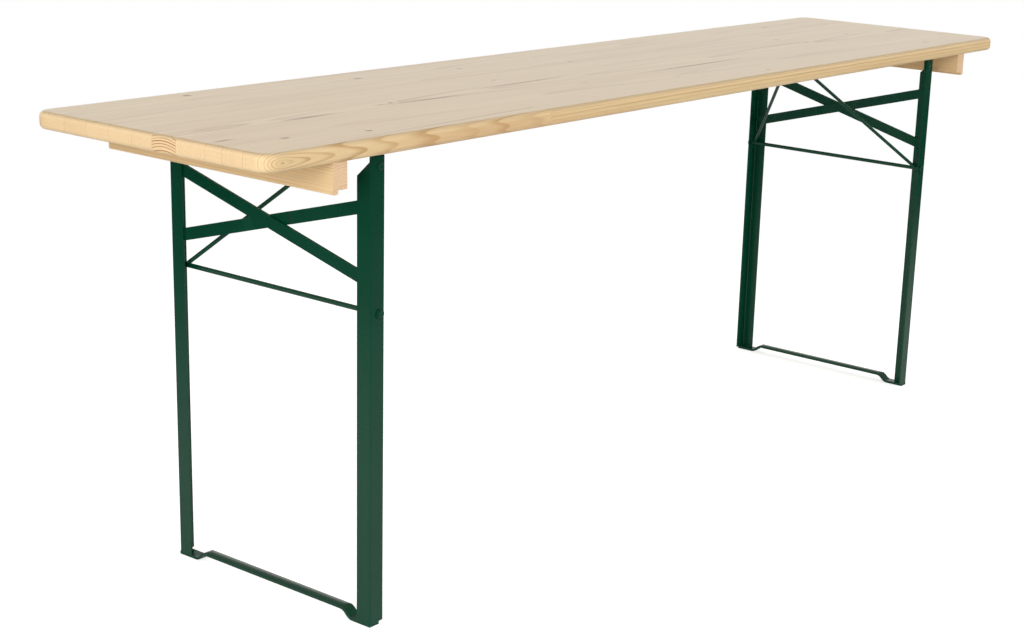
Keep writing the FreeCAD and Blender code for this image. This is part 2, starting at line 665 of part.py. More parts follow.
def make_washers():
    """Washers between the legs and the peened rod ends."""
    body = new_body("Washer")
    rod = "(Sizes.rod_diameter / 2)"
    rim = "(Sizes.washer_diameter / 2)"
    outline = [(rod, WASHER_FACE), (rim, WASHER_FACE), (rim, PEEN_FACE), (rod, PEEN_FACE)]
    revolve(body, draw_lines(body_sketch(body, "XY_Plane"), outline))
    place(body, PIN_X, "0", PIVOT_Z)
    keep_ends(group("Washers", [body, mirror(body, TO_FRONT)]), "bail_washers")


def draw_loop_line(sketch):
    """Centre line of the loop: two arms from the pivot rod that meet in a round tip."""
    foot = f"({FLANGE_SIDE} - Sizes.loop_inset)"
    centre = "(Sizes.bail_reach - Sizes.tip_radius)"
    start = Vector(0, number(foot), 0)
    middle = Vector(number(centre), 0, 0)
    bend = number("Sizes.tip_radius")
    side = Vector(0, bend, 0)
    arm = sketch.addGeometry(Part.LineSegment(start, middle + side), False)
    arc = sketch.addGeometry(Part.Arc(middle + side, middle + Vector(bend, 0, 0), middle - side), False)
    far_arm = sketch.addGeometry(Part.LineSegment(middle - side, Vector(0, -start.y, 0)), False)
    sketch.addConstraint(Sketcher.Constraint("Tangent", arm, 2, arc, 2))
    sketch.addConstraint(Sketcher.Constraint("Tangent", arc, 1, far_arm, 1))
    for line, point, y in ((arm, 1, foot), (far_arm, 2, f"-{foot}")):
        hold(sketch, "X", line, point, "0")
        hold(sketch, "Y", line, point, y)
    hold(sketch, "X", arc, 3, centre)
    hold(sketch, "Y", arc, 3, "0")
    rule = Sketcher.Constraint("Radius", arc, bend)
    sketch.setExpression(f"Constraints[{sketch.addConstraint(rule)}]", "Sizes.tip_radius")
    doc.recompute()
    return sketch


def make_bail_loops():
    """V of round rod, its feet cut to fit the pivot rod, leaning from the legs up to the leaf spring."""
    body = new_body("Loop")
    line = draw_loop_line(body_sketch(body, "XY_Plane"))
    section = body.newObject("Sketcher::SketchObject", "Section")
    section.AttachmentSupport = [(line, "Edge1")]
    section.MapMode = "NormalToEdge"
    section.MapPathParameter = 0
    draw_circles(section, [("0", "0")], "(Sizes.loop_diameter / 2)")
    doc.recompute()
    pipe = body.newObject("PartDesign::AdditivePipe", "Rod")
    pipe.Profile = section
    pipe.Spine = (line, ["Edge1", "Edge2", "Edge3"])
    doc.recompute()
    turn(body, Vector(0, 1, 0), f"180 deg + {BAIL_ANGLE}")
    place(body, PIN_X, "0", PIVOT_Z)
    seat = place(lying_cylinder("LoopSeat", "Sizes.rod_diameter / 2"), PIN_X, LEG_SIDE, PIVOT_Z)
    keep_ends(cut("LoopFitted", body, seat), "bail_loop")


def check_and_write():
    """Refuses a failed feature or a bad solid, then writes one file per piece."""
    doc.recompute()
    for thing in doc.Objects:
        if "Invalid" in thing.State or "Error" in thing.State:
            raise RuntimeError(f"{thing.Name} ({thing.Label}) failed")
    for piece in nodes:
        shape = piece.Shape
        if shape.isNull() or not shape.isValid() or not shape.Solids:
            raise RuntimeError(f"{piece.Label} has no valid solid")
    os.makedirs("parts", exist_ok=True)
    for piece in nodes:
        piece.Shape.exportStep(f"parts/{piece.Label}.step")
    print(f"{len(nodes)} pieces, {sum(len(piece.Shape.Solids) for piece in nodes)} solids")
    print(f"bail rises at {number(BAIL_ANGLE):.4f} degrees, tip at X {number(TIP_X):.3f}")


batten_screws = make_batten_screws()
bracket_screws = make_bracket_screws()
catch_screws = make_catch_screws()
make_top([batten_screws, bracket_screws, catch_screws])
make_battens(batten_screws)
make_brackets()
make_catch_springs(catch_screws)
make_legs()
make_braces()
make_foot_bars()
make_hinge_rivets()
make_pivot_rods()
make_washers()
make_bail_loops()
check_and_write()
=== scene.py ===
"""Looks of a folding trestle table: pale varnished softwood on two dark green steel trestles.

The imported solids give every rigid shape. This script dresses them with procedural finishes and adds what the
workshop leaves on them: weld beads on the steel, and cross recesses and threads on the screws.
Lengths are in metres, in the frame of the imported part: X along the table, Y across it, Z up from the floor.
"""

import logging
import math
import random
from dataclasses import dataclass, field, replace
from enum import Enum
from typing import Dict, List, Mapping, Optional, Sequence, Tuple, Union

import bmesh
import bpy
from bmesh.types import BMesh, BMVert
from bpy.types import Material, Node, NodeSocket as Socket, NodeTree, Object
from mathutils import Matrix, Vector


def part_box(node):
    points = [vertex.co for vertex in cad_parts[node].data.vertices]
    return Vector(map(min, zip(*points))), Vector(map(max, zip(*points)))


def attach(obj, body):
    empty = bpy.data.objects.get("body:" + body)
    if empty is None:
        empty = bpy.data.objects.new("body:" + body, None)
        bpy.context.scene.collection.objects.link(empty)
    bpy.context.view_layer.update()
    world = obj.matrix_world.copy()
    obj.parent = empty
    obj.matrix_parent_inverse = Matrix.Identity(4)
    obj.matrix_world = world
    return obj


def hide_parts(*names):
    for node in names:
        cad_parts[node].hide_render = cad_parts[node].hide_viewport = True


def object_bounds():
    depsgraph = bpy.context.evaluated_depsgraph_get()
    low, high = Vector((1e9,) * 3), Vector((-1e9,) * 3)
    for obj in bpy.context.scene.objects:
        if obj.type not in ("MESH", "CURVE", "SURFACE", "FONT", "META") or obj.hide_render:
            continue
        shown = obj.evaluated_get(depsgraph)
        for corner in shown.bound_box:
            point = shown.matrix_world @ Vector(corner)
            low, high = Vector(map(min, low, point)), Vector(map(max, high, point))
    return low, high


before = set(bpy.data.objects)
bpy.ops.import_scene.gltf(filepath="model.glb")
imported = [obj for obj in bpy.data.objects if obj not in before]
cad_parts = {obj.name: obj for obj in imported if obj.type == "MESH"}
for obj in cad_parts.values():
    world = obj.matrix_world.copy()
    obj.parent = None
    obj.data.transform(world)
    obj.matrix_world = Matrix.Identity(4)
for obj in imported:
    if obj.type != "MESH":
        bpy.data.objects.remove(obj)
CAD_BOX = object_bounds()

LOG = logging.getLogger("trestle_table")
MILLIMETRE = 0.001
SAME_POINT = 0.01 * MILLIMETRE
ORDER_DIGITS = 4

Feed = Union[Socket, float, Sequence[float]]
Feeds = Mapping[Union[int, str], Feed]
Point = Tuple[float, float, float]
Colour = Tuple[float, ...]
Span = Tuple[float, float]
Box = Tuple[Vector, Vector]
Ring = List[BMVert]


class Place(Enum):
    """Place on the table, with the side of the origin that it lies on as its value."""

    @property
    def word(self) -> str:
        """Name of the place as the pieces spell it."""
        return self.name.lower()


class End(Place):
    """The two ends of the table."""

    LEFT = -1
    RIGHT = 1


class Side(Place):
    """The two long sides of the table."""

    FRONT = -1
    BACK = 1


class Slot(Enum):
    """The part's own material slots."""

    TOP_WOOD = "top_wood"
    BATTEN_WOOD = "batten_wood"
    GREEN_PAINT = "green_paint"
    SPRING_STEEL = "spring_steel"
    SCREW_STEEL = "screw_steel"


class Grain(Enum):
    """Which way the fibres of a stick run."""

    ALONG_TABLE = (0, 1, 2)
    ACROSS_TABLE = (1, 0, 2)


class MixKind(Enum):
    """What a Mix node mixes, with the numbers of its two inputs and of its output."""

    RGBA = (6, 7, 2)
    VECTOR = (4, 5, 1)


class PortKind(Enum):
    """What a socket of a shader group carries."""

    VALUE = "NodeSocketFloat"
    VECTOR = "NodeSocketVector"


class Pattern(Enum):
    """The two patterns of the streaks group, by their outputs."""

    STREAK = "Streak"
    PATCH = "Patch"


def srgb(red: int, green: int, blue: int) -> Colour:
    """Turns a colour written as screen values into the linear colour that shaders take.

    Args:
        red: Red from 0 to 255.
        green: Green from 0 to 255.
        blue: Blue from 0 to 255.

    Returns:
        Linear red, green and blue, and an alpha of 1.
    """
    def linear(value: int) -> float:
        """One channel on the linear scale."""
        share = value / 255
        return share / 12.92 if share <= 0.04045 else ((share + 0.055) / 1.055) ** 2.4
    return (linear(red), linear(green), linear(blue), 1.0)


class Graph:
    """Wires the nodes of one shader tree."""

    def __init__(self, tree: NodeTree) -> None:
        """Takes the tree to work on.

        Args:
            tree: Node tree of a material, a world or a group.
        """
        self.tree = tree

    def feed(self, socket: Socket, value: Feed) -> None:
        """Links a socket to another one, or sets it to a constant.

        Args:
            socket: Input socket.
            value: Output socket to link, or the constant.
        """
        if isinstance(value, Socket):
            self.tree.links.new(value, socket)
        else:
            socket.default_value = value

    def fill(self, node: Node, feeds: Feeds) -> None:
        """Feeds the inputs of a node, by socket name or number."""
        for key, value in feeds.items():
            self.feed(node.inputs[key], value)

    def add(self, kind: str, feeds: Optional[Feeds] = None, **settings: object) -> Node:
        """Adds a node.

        Args:
            kind: Blender's name of the node type.
            feeds: What goes into its inputs, by socket name or number.
            **settings: Properties of the node itself.

        Returns:
            The new node.
        """
        node = self.tree.nodes.new(kind)
        for name, value in settings.items():
            setattr(node, name, value)
        self.fill(node, feeds or {})
        return node

    def math(self, operation: str, *terms: Feed) -> Socket:
        """Adds a sum on values, named as Blender names it."""
        return self.add("ShaderNodeMath", dict(enumerate(terms)), operation=operation).outputs[0]

    def vector(self, operation: str, *terms: Feed) -> Socket:
        """Adds a sum on vectors, named as Blender names it."""
        return self.add("ShaderNodeVectorMath", dict(enumerate(terms)), operation=operation).outputs[0]

    def split(self, vector: Feed) -> Tuple[Socket, Socket, Socket]:
        """Takes a vector apart into its X, Y and Z."""
        node = self.add("ShaderNodeSeparateXYZ", {0: vector})
        return node.outputs[0], node.outputs[1], node.outputs[2]

    def smooth(self, value: Feed, low: Feed, high: Feed, start: float = 0.0, stop: float = 1.0) -> Socket:
        """Adds a smooth step on a value from low to high, with its results below and above the step."""
        feeds = dict(enumerate((value, low, high, start, stop)))
        return self.add("ShaderNodeMapRange", feeds, interpolation_type="SMOOTHSTEP").outputs[0]

    def noise(self, vector: Feed, octaves: float = 2.0, roughness: float = 0.5) -> Node:
        """Adds a noise whose scale is already in its vector, with a value and a colour."""
        feeds = {"Vector": vector, "Scale": 1.0, "Detail": octaves, "Roughness": roughness}
        return self.add("ShaderNodeTexNoise", feeds)

    def mix(self, share: Feed, first: Feed, second: Feed, kind: MixKind = MixKind.RGBA) -> Socket:
        """Mixes two colours or vectors by a share of the second."""
        start, stop, result = kind.value
        return self.add("ShaderNodeMix", {0: share, start: first, stop: second}, data_type=kind.name).outputs[result]

    def cover(self, colour: Socket, layers: Sequence[Tuple[Optional[Socket], Feed]]) -> Socket:
        """Lays colours over a colour, one after the other.

        Args:
            colour: The lowest colour.
            layers: Mask and colour of each layer, without a mask where there is none to lay.

        Returns:
            The colour on top.
        """
        for mask, layer in layers:
            if mask is not None:
                colour = self.mix(mask, colour, layer)
        return colour

    def mix_shaders(self, share: Feed, first: Node, second: Node) -> Node:
        """Mixes two shaders by a share of the second."""
        return self.add("ShaderNodeMixShader", {0: share, 1: first.outputs[0], 2: second.outputs[0]})

    def bump(self, height: Socket, strength: float, distance: float) -> Socket:
        """Turns a height into the normals of a relief."""
        return self.add("ShaderNodeBump", {"Height": height, "Strength": strength, "Distance": distance}).outputs[0]

    def scale(self, colour: Feed, shade: Feed) -> Socket:
        """Multiplies a colour by a value."""
        return self.add("ShaderNodeVectorMath", {0: colour, "Scale": shade}, operation="SCALE").outputs[0]

    def turn(self, vector: Feed, grain: Grain) -> Socket:
        """Turns a vector of the table's frame so that its X runs with the fibres."""
        axes = self.split(vector)
        return self.add("ShaderNodeCombineXYZ", dict(enumerate(axes[axis] for axis in grain.value))).outputs[0]

    def place(self, group: "ShaderGroup", **feeds: Feed) -> Node:
        """Places a shader group.

        Args:
            group: The group.
            **feeds: What goes into its inputs, by their names with underscores for spaces.

        Returns:
            The group's node.
        """
        node = self.add("ShaderNodeGroup")
        node.node_tree = group.tree()
        self.fill(node, {name.replace("_", " "): value for name, value in feeds.items()})
        return node


class ShaderGroup:
    """Effect that several materials share, as a node group with named sockets."""

    title = ""
    vectors: Tuple[str, ...] = ()
    values: Tuple[str, ...] = ()
    gives: Tuple[str, ...] = ()

    def tree(self) -> NodeTree:
        """Gives the group's tree, which is built on first use.

        Returns:
            The tree, with vectors and values as inputs and values as outputs.
        """
        known = bpy.data.node_groups.get(self.title)
        if known:
            return known
        tree = bpy.data.node_groups.new(self.title, "ShaderNodeTree")
        for names, way, kind in ((self.vectors, "INPUT", PortKind.VECTOR), (self.values, "INPUT", PortKind.VALUE),
                                 (self.gives, "OUTPUT", PortKind.VALUE)):
            for name in names:
                tree.interface.new_socket(name, in_out=way, socket_type=kind.value)
        graph = Graph(tree)
        entry = graph.add("NodeGroupInput")
        leave = graph.add("NodeGroupOutput")
        graph.fill(leave, self.wire(graph, entry.outputs))
        return tree

    def wire(self, graph: Graph, ports: Mapping[str, Socket]) -> Dict[str, Socket]:
        """Wires the inside of the group.

        Args:
            graph: The group's own graph.
            ports: What comes in, by name.

        Returns:
            The socket for each output.
        """
        raise NotImplementedError


class GrowthRings(ShaderGroup):
    """Year rings round a pith that leans and wanders: pale early wood, a dark band of late wood."""

    title = "growth_rings"
    vectors = ("Position", "Pith", "Lean")
    values = ("Lean Reach", "Wander", "Ring Width", "Push", "Seed")
    gives = ("Late Wood", "Core")
    CORE_RADIUS = 0.0030
    DIVE_REACH = 0.007
    WANDER_CELLS = (1.4, 7.0, 7.0)
    WANDER_MIDDLE = (0.5, 0.5, 0.5)
    UNEVEN_CELLS = 60.0
    UNEVEN = 1.3
    LATE_SWELLS = (0.30, 0.90)
    LATE_STOPS = (0.91, 1.0)
    FAINTEST_YEAR = 0.45

    def wire(self, graph: Graph, ports: Mapping[str, Socket]) -> Dict[str, Socket]:
        """Wires the rings, as the group's base class describes."""
        position, seed = ports["Position"], ports["Seed"]
        along, across, up = graph.split(graph.vector("SUBTRACT", position, ports["Pith"]))
        dive, lean_across, lean_up = graph.split(ports["Lean"])
        away = graph.math("ABSOLUTE", along)
        dived = graph.math("DIVIDE", along, graph.math("ADD", away, self.DIVE_REACH))
        share = graph.math("DIVIDE", away, ports["Lean Reach"])
        along = graph.math("DIVIDE", along, graph.math("ADD", share, 1.0))
        across = graph.math("SUBTRACT", across, graph.math("MULTIPLY", dive, dived))
        cells = graph.vector("ADD", graph.vector("MULTIPLY", position, self.WANDER_CELLS), seed)
        drift = graph.noise(cells).outputs["Color"]
        drift_across, drift_up, _ = graph.split(graph.vector("SUBTRACT", drift, self.WANDER_MIDDLE))
        legs = []
        for offset, lean, wander in ((across, lean_across, drift_across), (up, lean_up, drift_up)):
            straight = graph.math("SUBTRACT", offset, graph.math("MULTIPLY", lean, along))
            bent = graph.math("MULTIPLY_ADD", wander, ports["Wander"], straight)
            legs.append(graph.math("MULTIPLY", bent, bent))
        radius = graph.math("ADD", graph.math("SQRT", graph.math("ADD", *legs)), ports["Push"])
        uneven = graph.add("ShaderNodeTexNoise", {
            "W": graph.math("MULTIPLY_ADD", radius, self.UNEVEN_CELLS, seed), "Scale": 1.0, "Detail": 1.0,
        }, noise_dimensions="1D").outputs[0]
        years = graph.math("DIVIDE", radius, ports["Ring Width"])
        years = graph.math("MULTIPLY_ADD", uneven, self.UNEVEN, years)
        season = graph.math("FRACT", years)
        year = graph.math("ADD", graph.math("FLOOR", years), seed)
        luck = graph.add("ShaderNodeTexWhiteNoise", {"W": year}, noise_dimensions="1D").outputs["Value"]
        swell = graph.smooth(season, *self.LATE_SWELLS)
        stop = graph.smooth(season, *self.LATE_STOPS, 1.0, 0.0)
        weight = graph.smooth(luck, 0.0, 1.0, self.FAINTEST_YEAR, 1.0)
        late = graph.math("MULTIPLY", graph.math("MULTIPLY", swell, swell), graph.math("MULTIPLY", stop, weight))
        core = graph.smooth(radius, 0.0, self.CORE_RADIUS, 1.0, 0.0)
        return {"Late Wood": late, "Core": core}


class WoodMark(ShaderGroup):
    """Oval mark in the wood, such as a pin knot or a streak, with a ragged rim."""

    title = "wood_mark"
    vectors = ("Position", "Centre")
    values = ("Half Length", "Half Width", "Softness")
    gives = ("Mark", "Rim", "Nearness")
    RAGGED_CELLS = (60.0, 240.0, 240.0)
    RAGGED = 0.5
    OUTER_RIM = 1.15
    NEARNESS = (0.6, 3.0)
    HOLLOW = (0.35, 0.8)
    HOLLOW_SHARE = 0.25

    def wire(self, graph: Graph, ports: Mapping[str, Socket]) -> Dict[str, Socket]:
        """Wires the mark, as the group's base class describes."""
        position = ports["Position"]
        along, across, _ = graph.split(graph.vector("SUBTRACT", position, ports["Centre"]))
        along = graph.math("DIVIDE", along, ports["Half Length"])
        across = graph.math("DIVIDE", across, ports["Half Width"])
        squares = graph.math("ADD", graph.math("MULTIPLY", along, along), graph.math("MULTIPLY", across, across))
        rim = graph.noise(graph.vector("MULTIPLY", position, self.RAGGED_CELLS)).outputs[0]
        distance = graph.math("SQRT", squares)
        ragged = graph.math("MULTIPLY_ADD", graph.math("SUBTRACT", rim, 0.5), self.RAGGED, distance)
        inner = graph.math("SUBTRACT", 1.0, ports["Softness"])
        mark = graph.smooth(ragged, inner, self.OUTER_RIM, 1.0, 0.0)
        near = graph.smooth(distance, *self.NEARNESS, 1.0, 0.0)
        rim_only = graph.math("MULTIPLY", mark, graph.smooth(ragged, *self.HOLLOW, self.HOLLOW_SHARE, 1.0))
        return {"Mark": mark, "Rim": rim_only, "Nearness": near}


class Streaks(ShaderGroup):
    """Fine streaks drawn out along X, as wood fibres or rolling marks, and broad soft patches."""

    title = "streaks"
    vectors = ("Position", "Cells", "Patch Cells")
    values = ("Seed",)
    gives = (Pattern.STREAK.value, Pattern.PATCH.value)
    NOISES = ((Pattern.STREAK, "Cells", 4.0), (Pattern.PATCH, "Patch Cells", 2.0))
    FINE_SHARE = 0.6

    def wire(self, graph: Graph, ports: Mapping[str, Socket]) -> Dict[str, Socket]:
        """Wires the streaks, as the group's base class describes."""
        results = {}
        for pattern, cells, octaves in self.NOISES:
            stretched = graph.vector("MULTIPLY", ports["Position"], ports[cells])
            placed = graph.vector("ADD", stretched, ports["Seed"])
            results[pattern.value] = graph.noise(placed, octaves, self.FINE_SHARE).outputs[0]
        return results


RINGS = GrowthRings()
MARK = WoodMark()
STREAKS = Streaks()


def new_material(name: str) -> Tuple[Material, Graph, Node]:
    """Makes an empty material with a surface shader.

    Args:
        name: Name of the material.

    Returns:
        The material, its graph and its Principled node.
    """
    material = bpy.data.materials.new(name)
    material.use_nodes = True
    graph = Graph(material.node_tree)
    return material, graph, material.node_tree.nodes["Principled BSDF"]


@dataclass(frozen=True)
class Log:
    """How one stick was sawn: where the pith runs past it, and how wide its rings are.

    The pith is given by its place across the table and its height, at the X given with it. It leans as it goes
    along the table, less and less over lean_reach, wanders about its line, and may dive into the wood at once.
    """

    pith_x: float
    pith_y: float
    pith_z: float
    lean_y: float = 0.0
    lean_z: float = 0.0
    ring_width: float = 0.0035
    lean_reach: float = 20.0
    wander: float = 0.007
    dive: float = 0.0


@dataclass(frozen=True)
class Mark:
    """Knot or streak on the top's face, by its middle and its half sizes, filled or as a rim, strong or faint."""

    x: float
    y: float
    half_length: float
    half_width: float
    open: bool = False
    strength: float = 1.0


@dataclass(frozen=True)
class FingerJoint:
    """Glued finger joint of a stave, by its place along the table and its fingers."""

    x: float
    finger_length: float = 0.009
    finger_pitch: float = 0.0035
    glue_line: float = 0.0007


@dataclass(frozen=True)
class Stick:
    """One stick of wood: how it was sawn, how strongly its rings show and what marks it has."""

    log: Log
    seed: float
    tone: float = 1.0
    ring_strength: float = 0.5
    end_strength: float = 0.4
    grain: Grain = Grain.ALONG_TABLE
    knots: Tuple[Mark, ...] = ()
    reds: Tuple[Mark, ...] = ()
    joint: Optional[FingerJoint] = None
    beyond: Optional[Log] = None
    glued_sides: Tuple[float, ...] = ()


@dataclass(frozen=True)
class Softwood:
    """Sawn and varnished softwood, with rings, fibres, knots and end grain in the solid."""

    early: Colour = srgb(236, 207, 158)
    late: Colour = srgb(190, 142, 84)
    heart: Colour = srgb(214, 166, 122)
    red: Colour = srgb(158, 88, 42)
    knot: Colour = srgb(146, 98, 44)
    glue: Colour = srgb(172, 128, 88)
    end_early: Colour = srgb(248, 217, 170)
    end_late: Colour = srgb(176, 112, 58)
    heart_strength: float = 0.45
    fibre_strength: float = 0.10
    glue_line: float = 0.0007
    roughness: float = 0.46
    coat: float = 0.75
    edge_coat: float = 0.12
    mark_wear: float = 0.40
    coat_index: float = 1.6
    coat_roughness: float = 0.28
    relief: float = 0.00012

    FIBRE_CELLS = (9.0, 420.0, 420.0)
    PATCH_CELLS = (1.2, 14.0, 14.0)
    END_FACING = (0.45, 0.85)
    UP_FACING = (0.3, 0.9)
    HEART_PATCHES = (0.46, 0.72)
    FIBRES = (0.3, 0.7)
    KNOT_SOFTNESS = 0.6
    RED_SOFTNESS = 0.9
    RINGS_PUSHED = 1.6
    CORE_STRENGTH = 0.6
    JOINT_STRENGTH = 0.4
    SIDE_STRENGTH = 0.35
    GLOSS_SPREAD = 0.16
    LATE_RELIEF = 0.6
    BUMP = 0.25

    def ring_feeds(self, graph: Graph, stick: Stick, share: Optional[Socket]) -> Dict[str, Feed]:
        """Gives the rings' inputs, changing from one log to the next at a joint.

        Args:
            graph: Material's graph.
            stick: The stick.
            share: 0 before its joint and 1 after it, if it has one.

        Returns:
            Feeds of the ring group.
        """
        logs = [log for log in (stick.log, stick.beyond) if log]
        piths = [(log.pith_x, log.pith_y, log.pith_z) for log in logs]
        leans = [(log.dive, log.lean_y, log.lean_z) for log in logs]
        feeds: Dict[str, Feed] = {"Lean_Reach": stick.log.lean_reach, "Wander": stick.log.wander,
                                  "Ring_Width": stick.log.ring_width, "Seed": stick.seed}
        if share is None:
            return {**feeds, "Pith": piths[0], "Lean": leans[0]}
        return {**feeds, "Pith": graph.mix(share, *piths, MixKind.VECTOR),
                "Lean": graph.mix(share, *leans, MixKind.VECTOR)}

    def joint_masks(self, graph: Graph, position: Socket, joint: FingerJoint) -> Tuple[Socket, Socket]:
        """Draws a finger joint across the stick.

        Args:
            graph: Material's graph.
            position: Place in the solid.
            joint: The joint.

        Returns:
            A mask of what lies beyond the joint, and one of its glue line.
        """
        along, _, up = graph.split(position)
        wave = graph.math("DIVIDE", graph.math("PINGPONG", up, joint.finger_pitch), joint.finger_pitch)
        edge = graph.math("MULTIPLY_ADD", wave, joint.finger_length, joint.x - joint.finger_length / 2)
        distance = graph.math("SUBTRACT", along, edge)
        beyond = graph.math("GREATER_THAN", distance, 0.0)
        glue = graph.smooth(graph.math("ABSOLUTE", distance), 0.0, joint.glue_line, self.JOINT_STRENGTH, 0.0)
        return beyond, glue

    def material(self, name: str, stick: Stick) -> Material:
        """Makes the wood of one stick.

        Args:
            name: Name of the material.
            stick: How the stick was sawn and how it is marked.

        Returns:
            The material.
        """
        material, graph, shader = new_material(name)
        place = graph.add("ShaderNodeTexCoord")
        position = graph.turn(place.outputs["Object"], stick.grain)
        facing, _, upward = graph.split(graph.turn(place.outputs["Normal"], stick.grain))
        end = graph.smooth(graph.math("ABSOLUTE", facing), *self.END_FACING)
        glue_lines = self.side_glue(graph, position, stick)
        share = None
        if stick.joint:
            share, joint_line = self.joint_masks(graph, position, stick.joint)
            glue_lines.append(joint_line)
        feeds = self.ring_feeds(graph, stick, share)
        knots, near = self.marks(graph, position, stick.knots, self.KNOT_SOFTNESS)
        reds, _ = self.marks(graph, position, stick.reds, self.RED_SOFTNESS)
        if near is not None:
            feeds["Push"] = graph.math("MULTIPLY", near, self.RINGS_PUSHED * stick.log.ring_width)
        rings = graph.place(RINGS, Position=position, **feeds)
        fibres = graph.place(STREAKS, Position=position, Cells=self.FIBRE_CELLS, Patch_Cells=self.PATCH_CELLS,
                             Seed=stick.seed)
        late, streak = rings.outputs["Late Wood"], fibres.outputs[Pattern.STREAK.value]
        colour = graph.mix(graph.math("MULTIPLY", late, stick.ring_strength), self.early, self.late)
        patch = graph.smooth(fibres.outputs[Pattern.PATCH.value], *self.HEART_PATCHES, 0.0, self.heart_strength)
        end_colour = graph.mix(graph.math("MULTIPLY", late, stick.end_strength), self.end_early, self.end_late)
        colour = graph.cover(colour, [(patch, self.heart), (reds, self.red), (end, end_colour)])
        shade = graph.smooth(streak, *self.FIBRES, 1.0 - self.fibre_strength, 1.0)
        colour = graph.scale(colour, graph.math("MULTIPLY", shade, stick.tone))
        core = graph.math("MULTIPLY", rings.outputs["Core"], self.CORE_STRENGTH)
        glue = [(line, self.glue) for line in glue_lines]
        colour = graph.cover(colour, [(core, self.late), *glue, (knots, self.knot)])
        gloss = graph.math("MULTIPLY_ADD", streak, self.GLOSS_SPREAD, self.roughness - self.GLOSS_SPREAD / 2)
        marks = [mask for mask in (reds, knots) if mask is not None]
        height = graph.math("MULTIPLY_ADD", late, self.LATE_RELIEF, streak)
        graph.fill(shader, {
            "Base Color": colour, "Roughness": gloss, "Coat Weight": self.coat_weight(graph, upward, marks),
            "Coat Roughness": self.coat_roughness, "Coat IOR": self.coat_index,
            "Normal": graph.bump(height, self.BUMP, self.relief)})
        return material

    def coat_weight(self, graph: Graph, upward: Socket, marks: Sequence[Socket]) -> Feed:
        """Gives the coat of varnish: thick on the upper face, thinner on its marks and thin at the edges.

        Args:
            graph: Material's graph.
            upward: How far the surface faces up.
            marks: Masks of the marks, two at most.

        Returns:
            The coat's weight, as one number where it is the same all over.
        """
        if self.coat == self.edge_coat and not marks:
            return self.coat
        coat = graph.smooth(upward, *self.UP_FACING, self.edge_coat, self.coat)
        if not marks:
            return coat
        marked = graph.math("MAXIMUM", marks[0], marks[-1])
        return graph.math("MULTIPLY", coat, graph.math("MULTIPLY_ADD", marked, -self.mark_wear, 1.0))

    def side_glue(self, graph: Graph, position: Socket, stick: Stick) -> List[Socket]:
        """Draws the glue lines along the sides where a stick is glued to the next.

        Args:
            graph: Material's graph.
            position: Place in the solid.
            stick: The stick.

        Returns:
            A mask of each line.
        """
        _, across, _ = graph.split(position)
        lines = []
        for side in stick.glued_sides:
            distance = graph.math("ABSOLUTE", graph.math("SUBTRACT", across, side))
            lines.append(graph.smooth(distance, 0.0, self.glue_line, self.SIDE_STRENGTH, 0.0))
        return lines

    @staticmethod
    def marks(graph: Graph, position: Socket, marks: Sequence[Mark], softness: float
              ) -> Tuple[Optional[Socket], Optional[Socket]]:
        """Joins several marks into one mask.

        Args:
            graph: Material's graph.
            position: Place in the solid.
            marks: The marks.
            softness: Share of each mark over which its rim fades.

        Returns:
            The mask of the marks, and how near the nearest is, which bends the rings. Both are None without marks.
        """
        mask: Optional[Socket] = None
        near: Optional[Socket] = None
        for mark in marks:
            node = graph.place(MARK, Position=position, Centre=(mark.x, mark.y, 0.0), Softness=softness,
                               Half_Length=mark.half_length, Half_Width=mark.half_width)
            shape = graph.math("MULTIPLY", node.outputs["Rim" if mark.open else "Mark"], mark.strength)
            mask = shape if mask is None else graph.math("MAXIMUM", shape, mask)
            nearness = node.outputs["Nearness"]
            near = nearness if near is None else graph.math("MAXIMUM", nearness, near)
        return mask, near


@dataclass(frozen=True)
class SteelSkin:
    """Skin of a steel piece, painted or bare: two mottled colours, uneven gloss and a fine relief."""

    first: Colour
    second: Colour
    roughness: float
    gloss_spread: float = 0.25
    gloss_pattern: Pattern = Pattern.STREAK
    mottle: Span = (0.35, 0.65)
    cells: Point = (60.0, 900.0, 900.0)
    patch_cells: Point = (120.0, 120.0, 120.0)
    seed: float = 8.0
    relief: float = 0.00005
    bump: float = 0.2
    metallic: float = 1.0
    specular: float = 0.5

    def material(self, name: str) -> Material:
        """Makes the finish.

        Args:
            name: Name of the material.

        Returns:
            The material.
        """
        material, graph, shader = new_material(name)
        position = graph.add("ShaderNodeTexCoord").outputs["Object"]
        marks = graph.place(STREAKS, Position=position, Cells=self.cells, Patch_Cells=self.patch_cells,
                            Seed=self.seed).outputs
        mottle = graph.smooth(marks[Pattern.PATCH.value], *self.mottle)
        gloss = graph.math("MULTIPLY_ADD", marks[self.gloss_pattern.value], self.gloss_spread, self.roughness)
        graph.fill(shader, {
            "Base Color": graph.mix(mottle, self.first, self.second), "Roughness": gloss,
            "Metallic": self.metallic, "Specular IOR Level": self.specular,
            "Normal": graph.bump(marks[Pattern.STREAK.value], self.bump, self.relief)})
        return material


GREEN_ENAMEL = SteelSkin(
    first=srgb(0, 58, 40), second=srgb(1, 63, 44), roughness=0.18, gloss_spread=0.16, gloss_pattern=Pattern.PATCH,
    mottle=(0.2, 0.8), cells=(420.0, 420.0, 420.0), patch_cells=(5.0, 5.0, 5.0), seed=3.0, relief=0.00006, bump=0.3,
    metallic=0.0, specular=0.34)
BLUED_STEEL = SteelSkin(first=srgb(120, 124, 130), second=srgb(84, 88, 96), roughness=0.26)
ZINC_PLATE = SteelSkin(first=srgb(206, 204, 196), second=srgb(168, 168, 164), roughness=0.22)


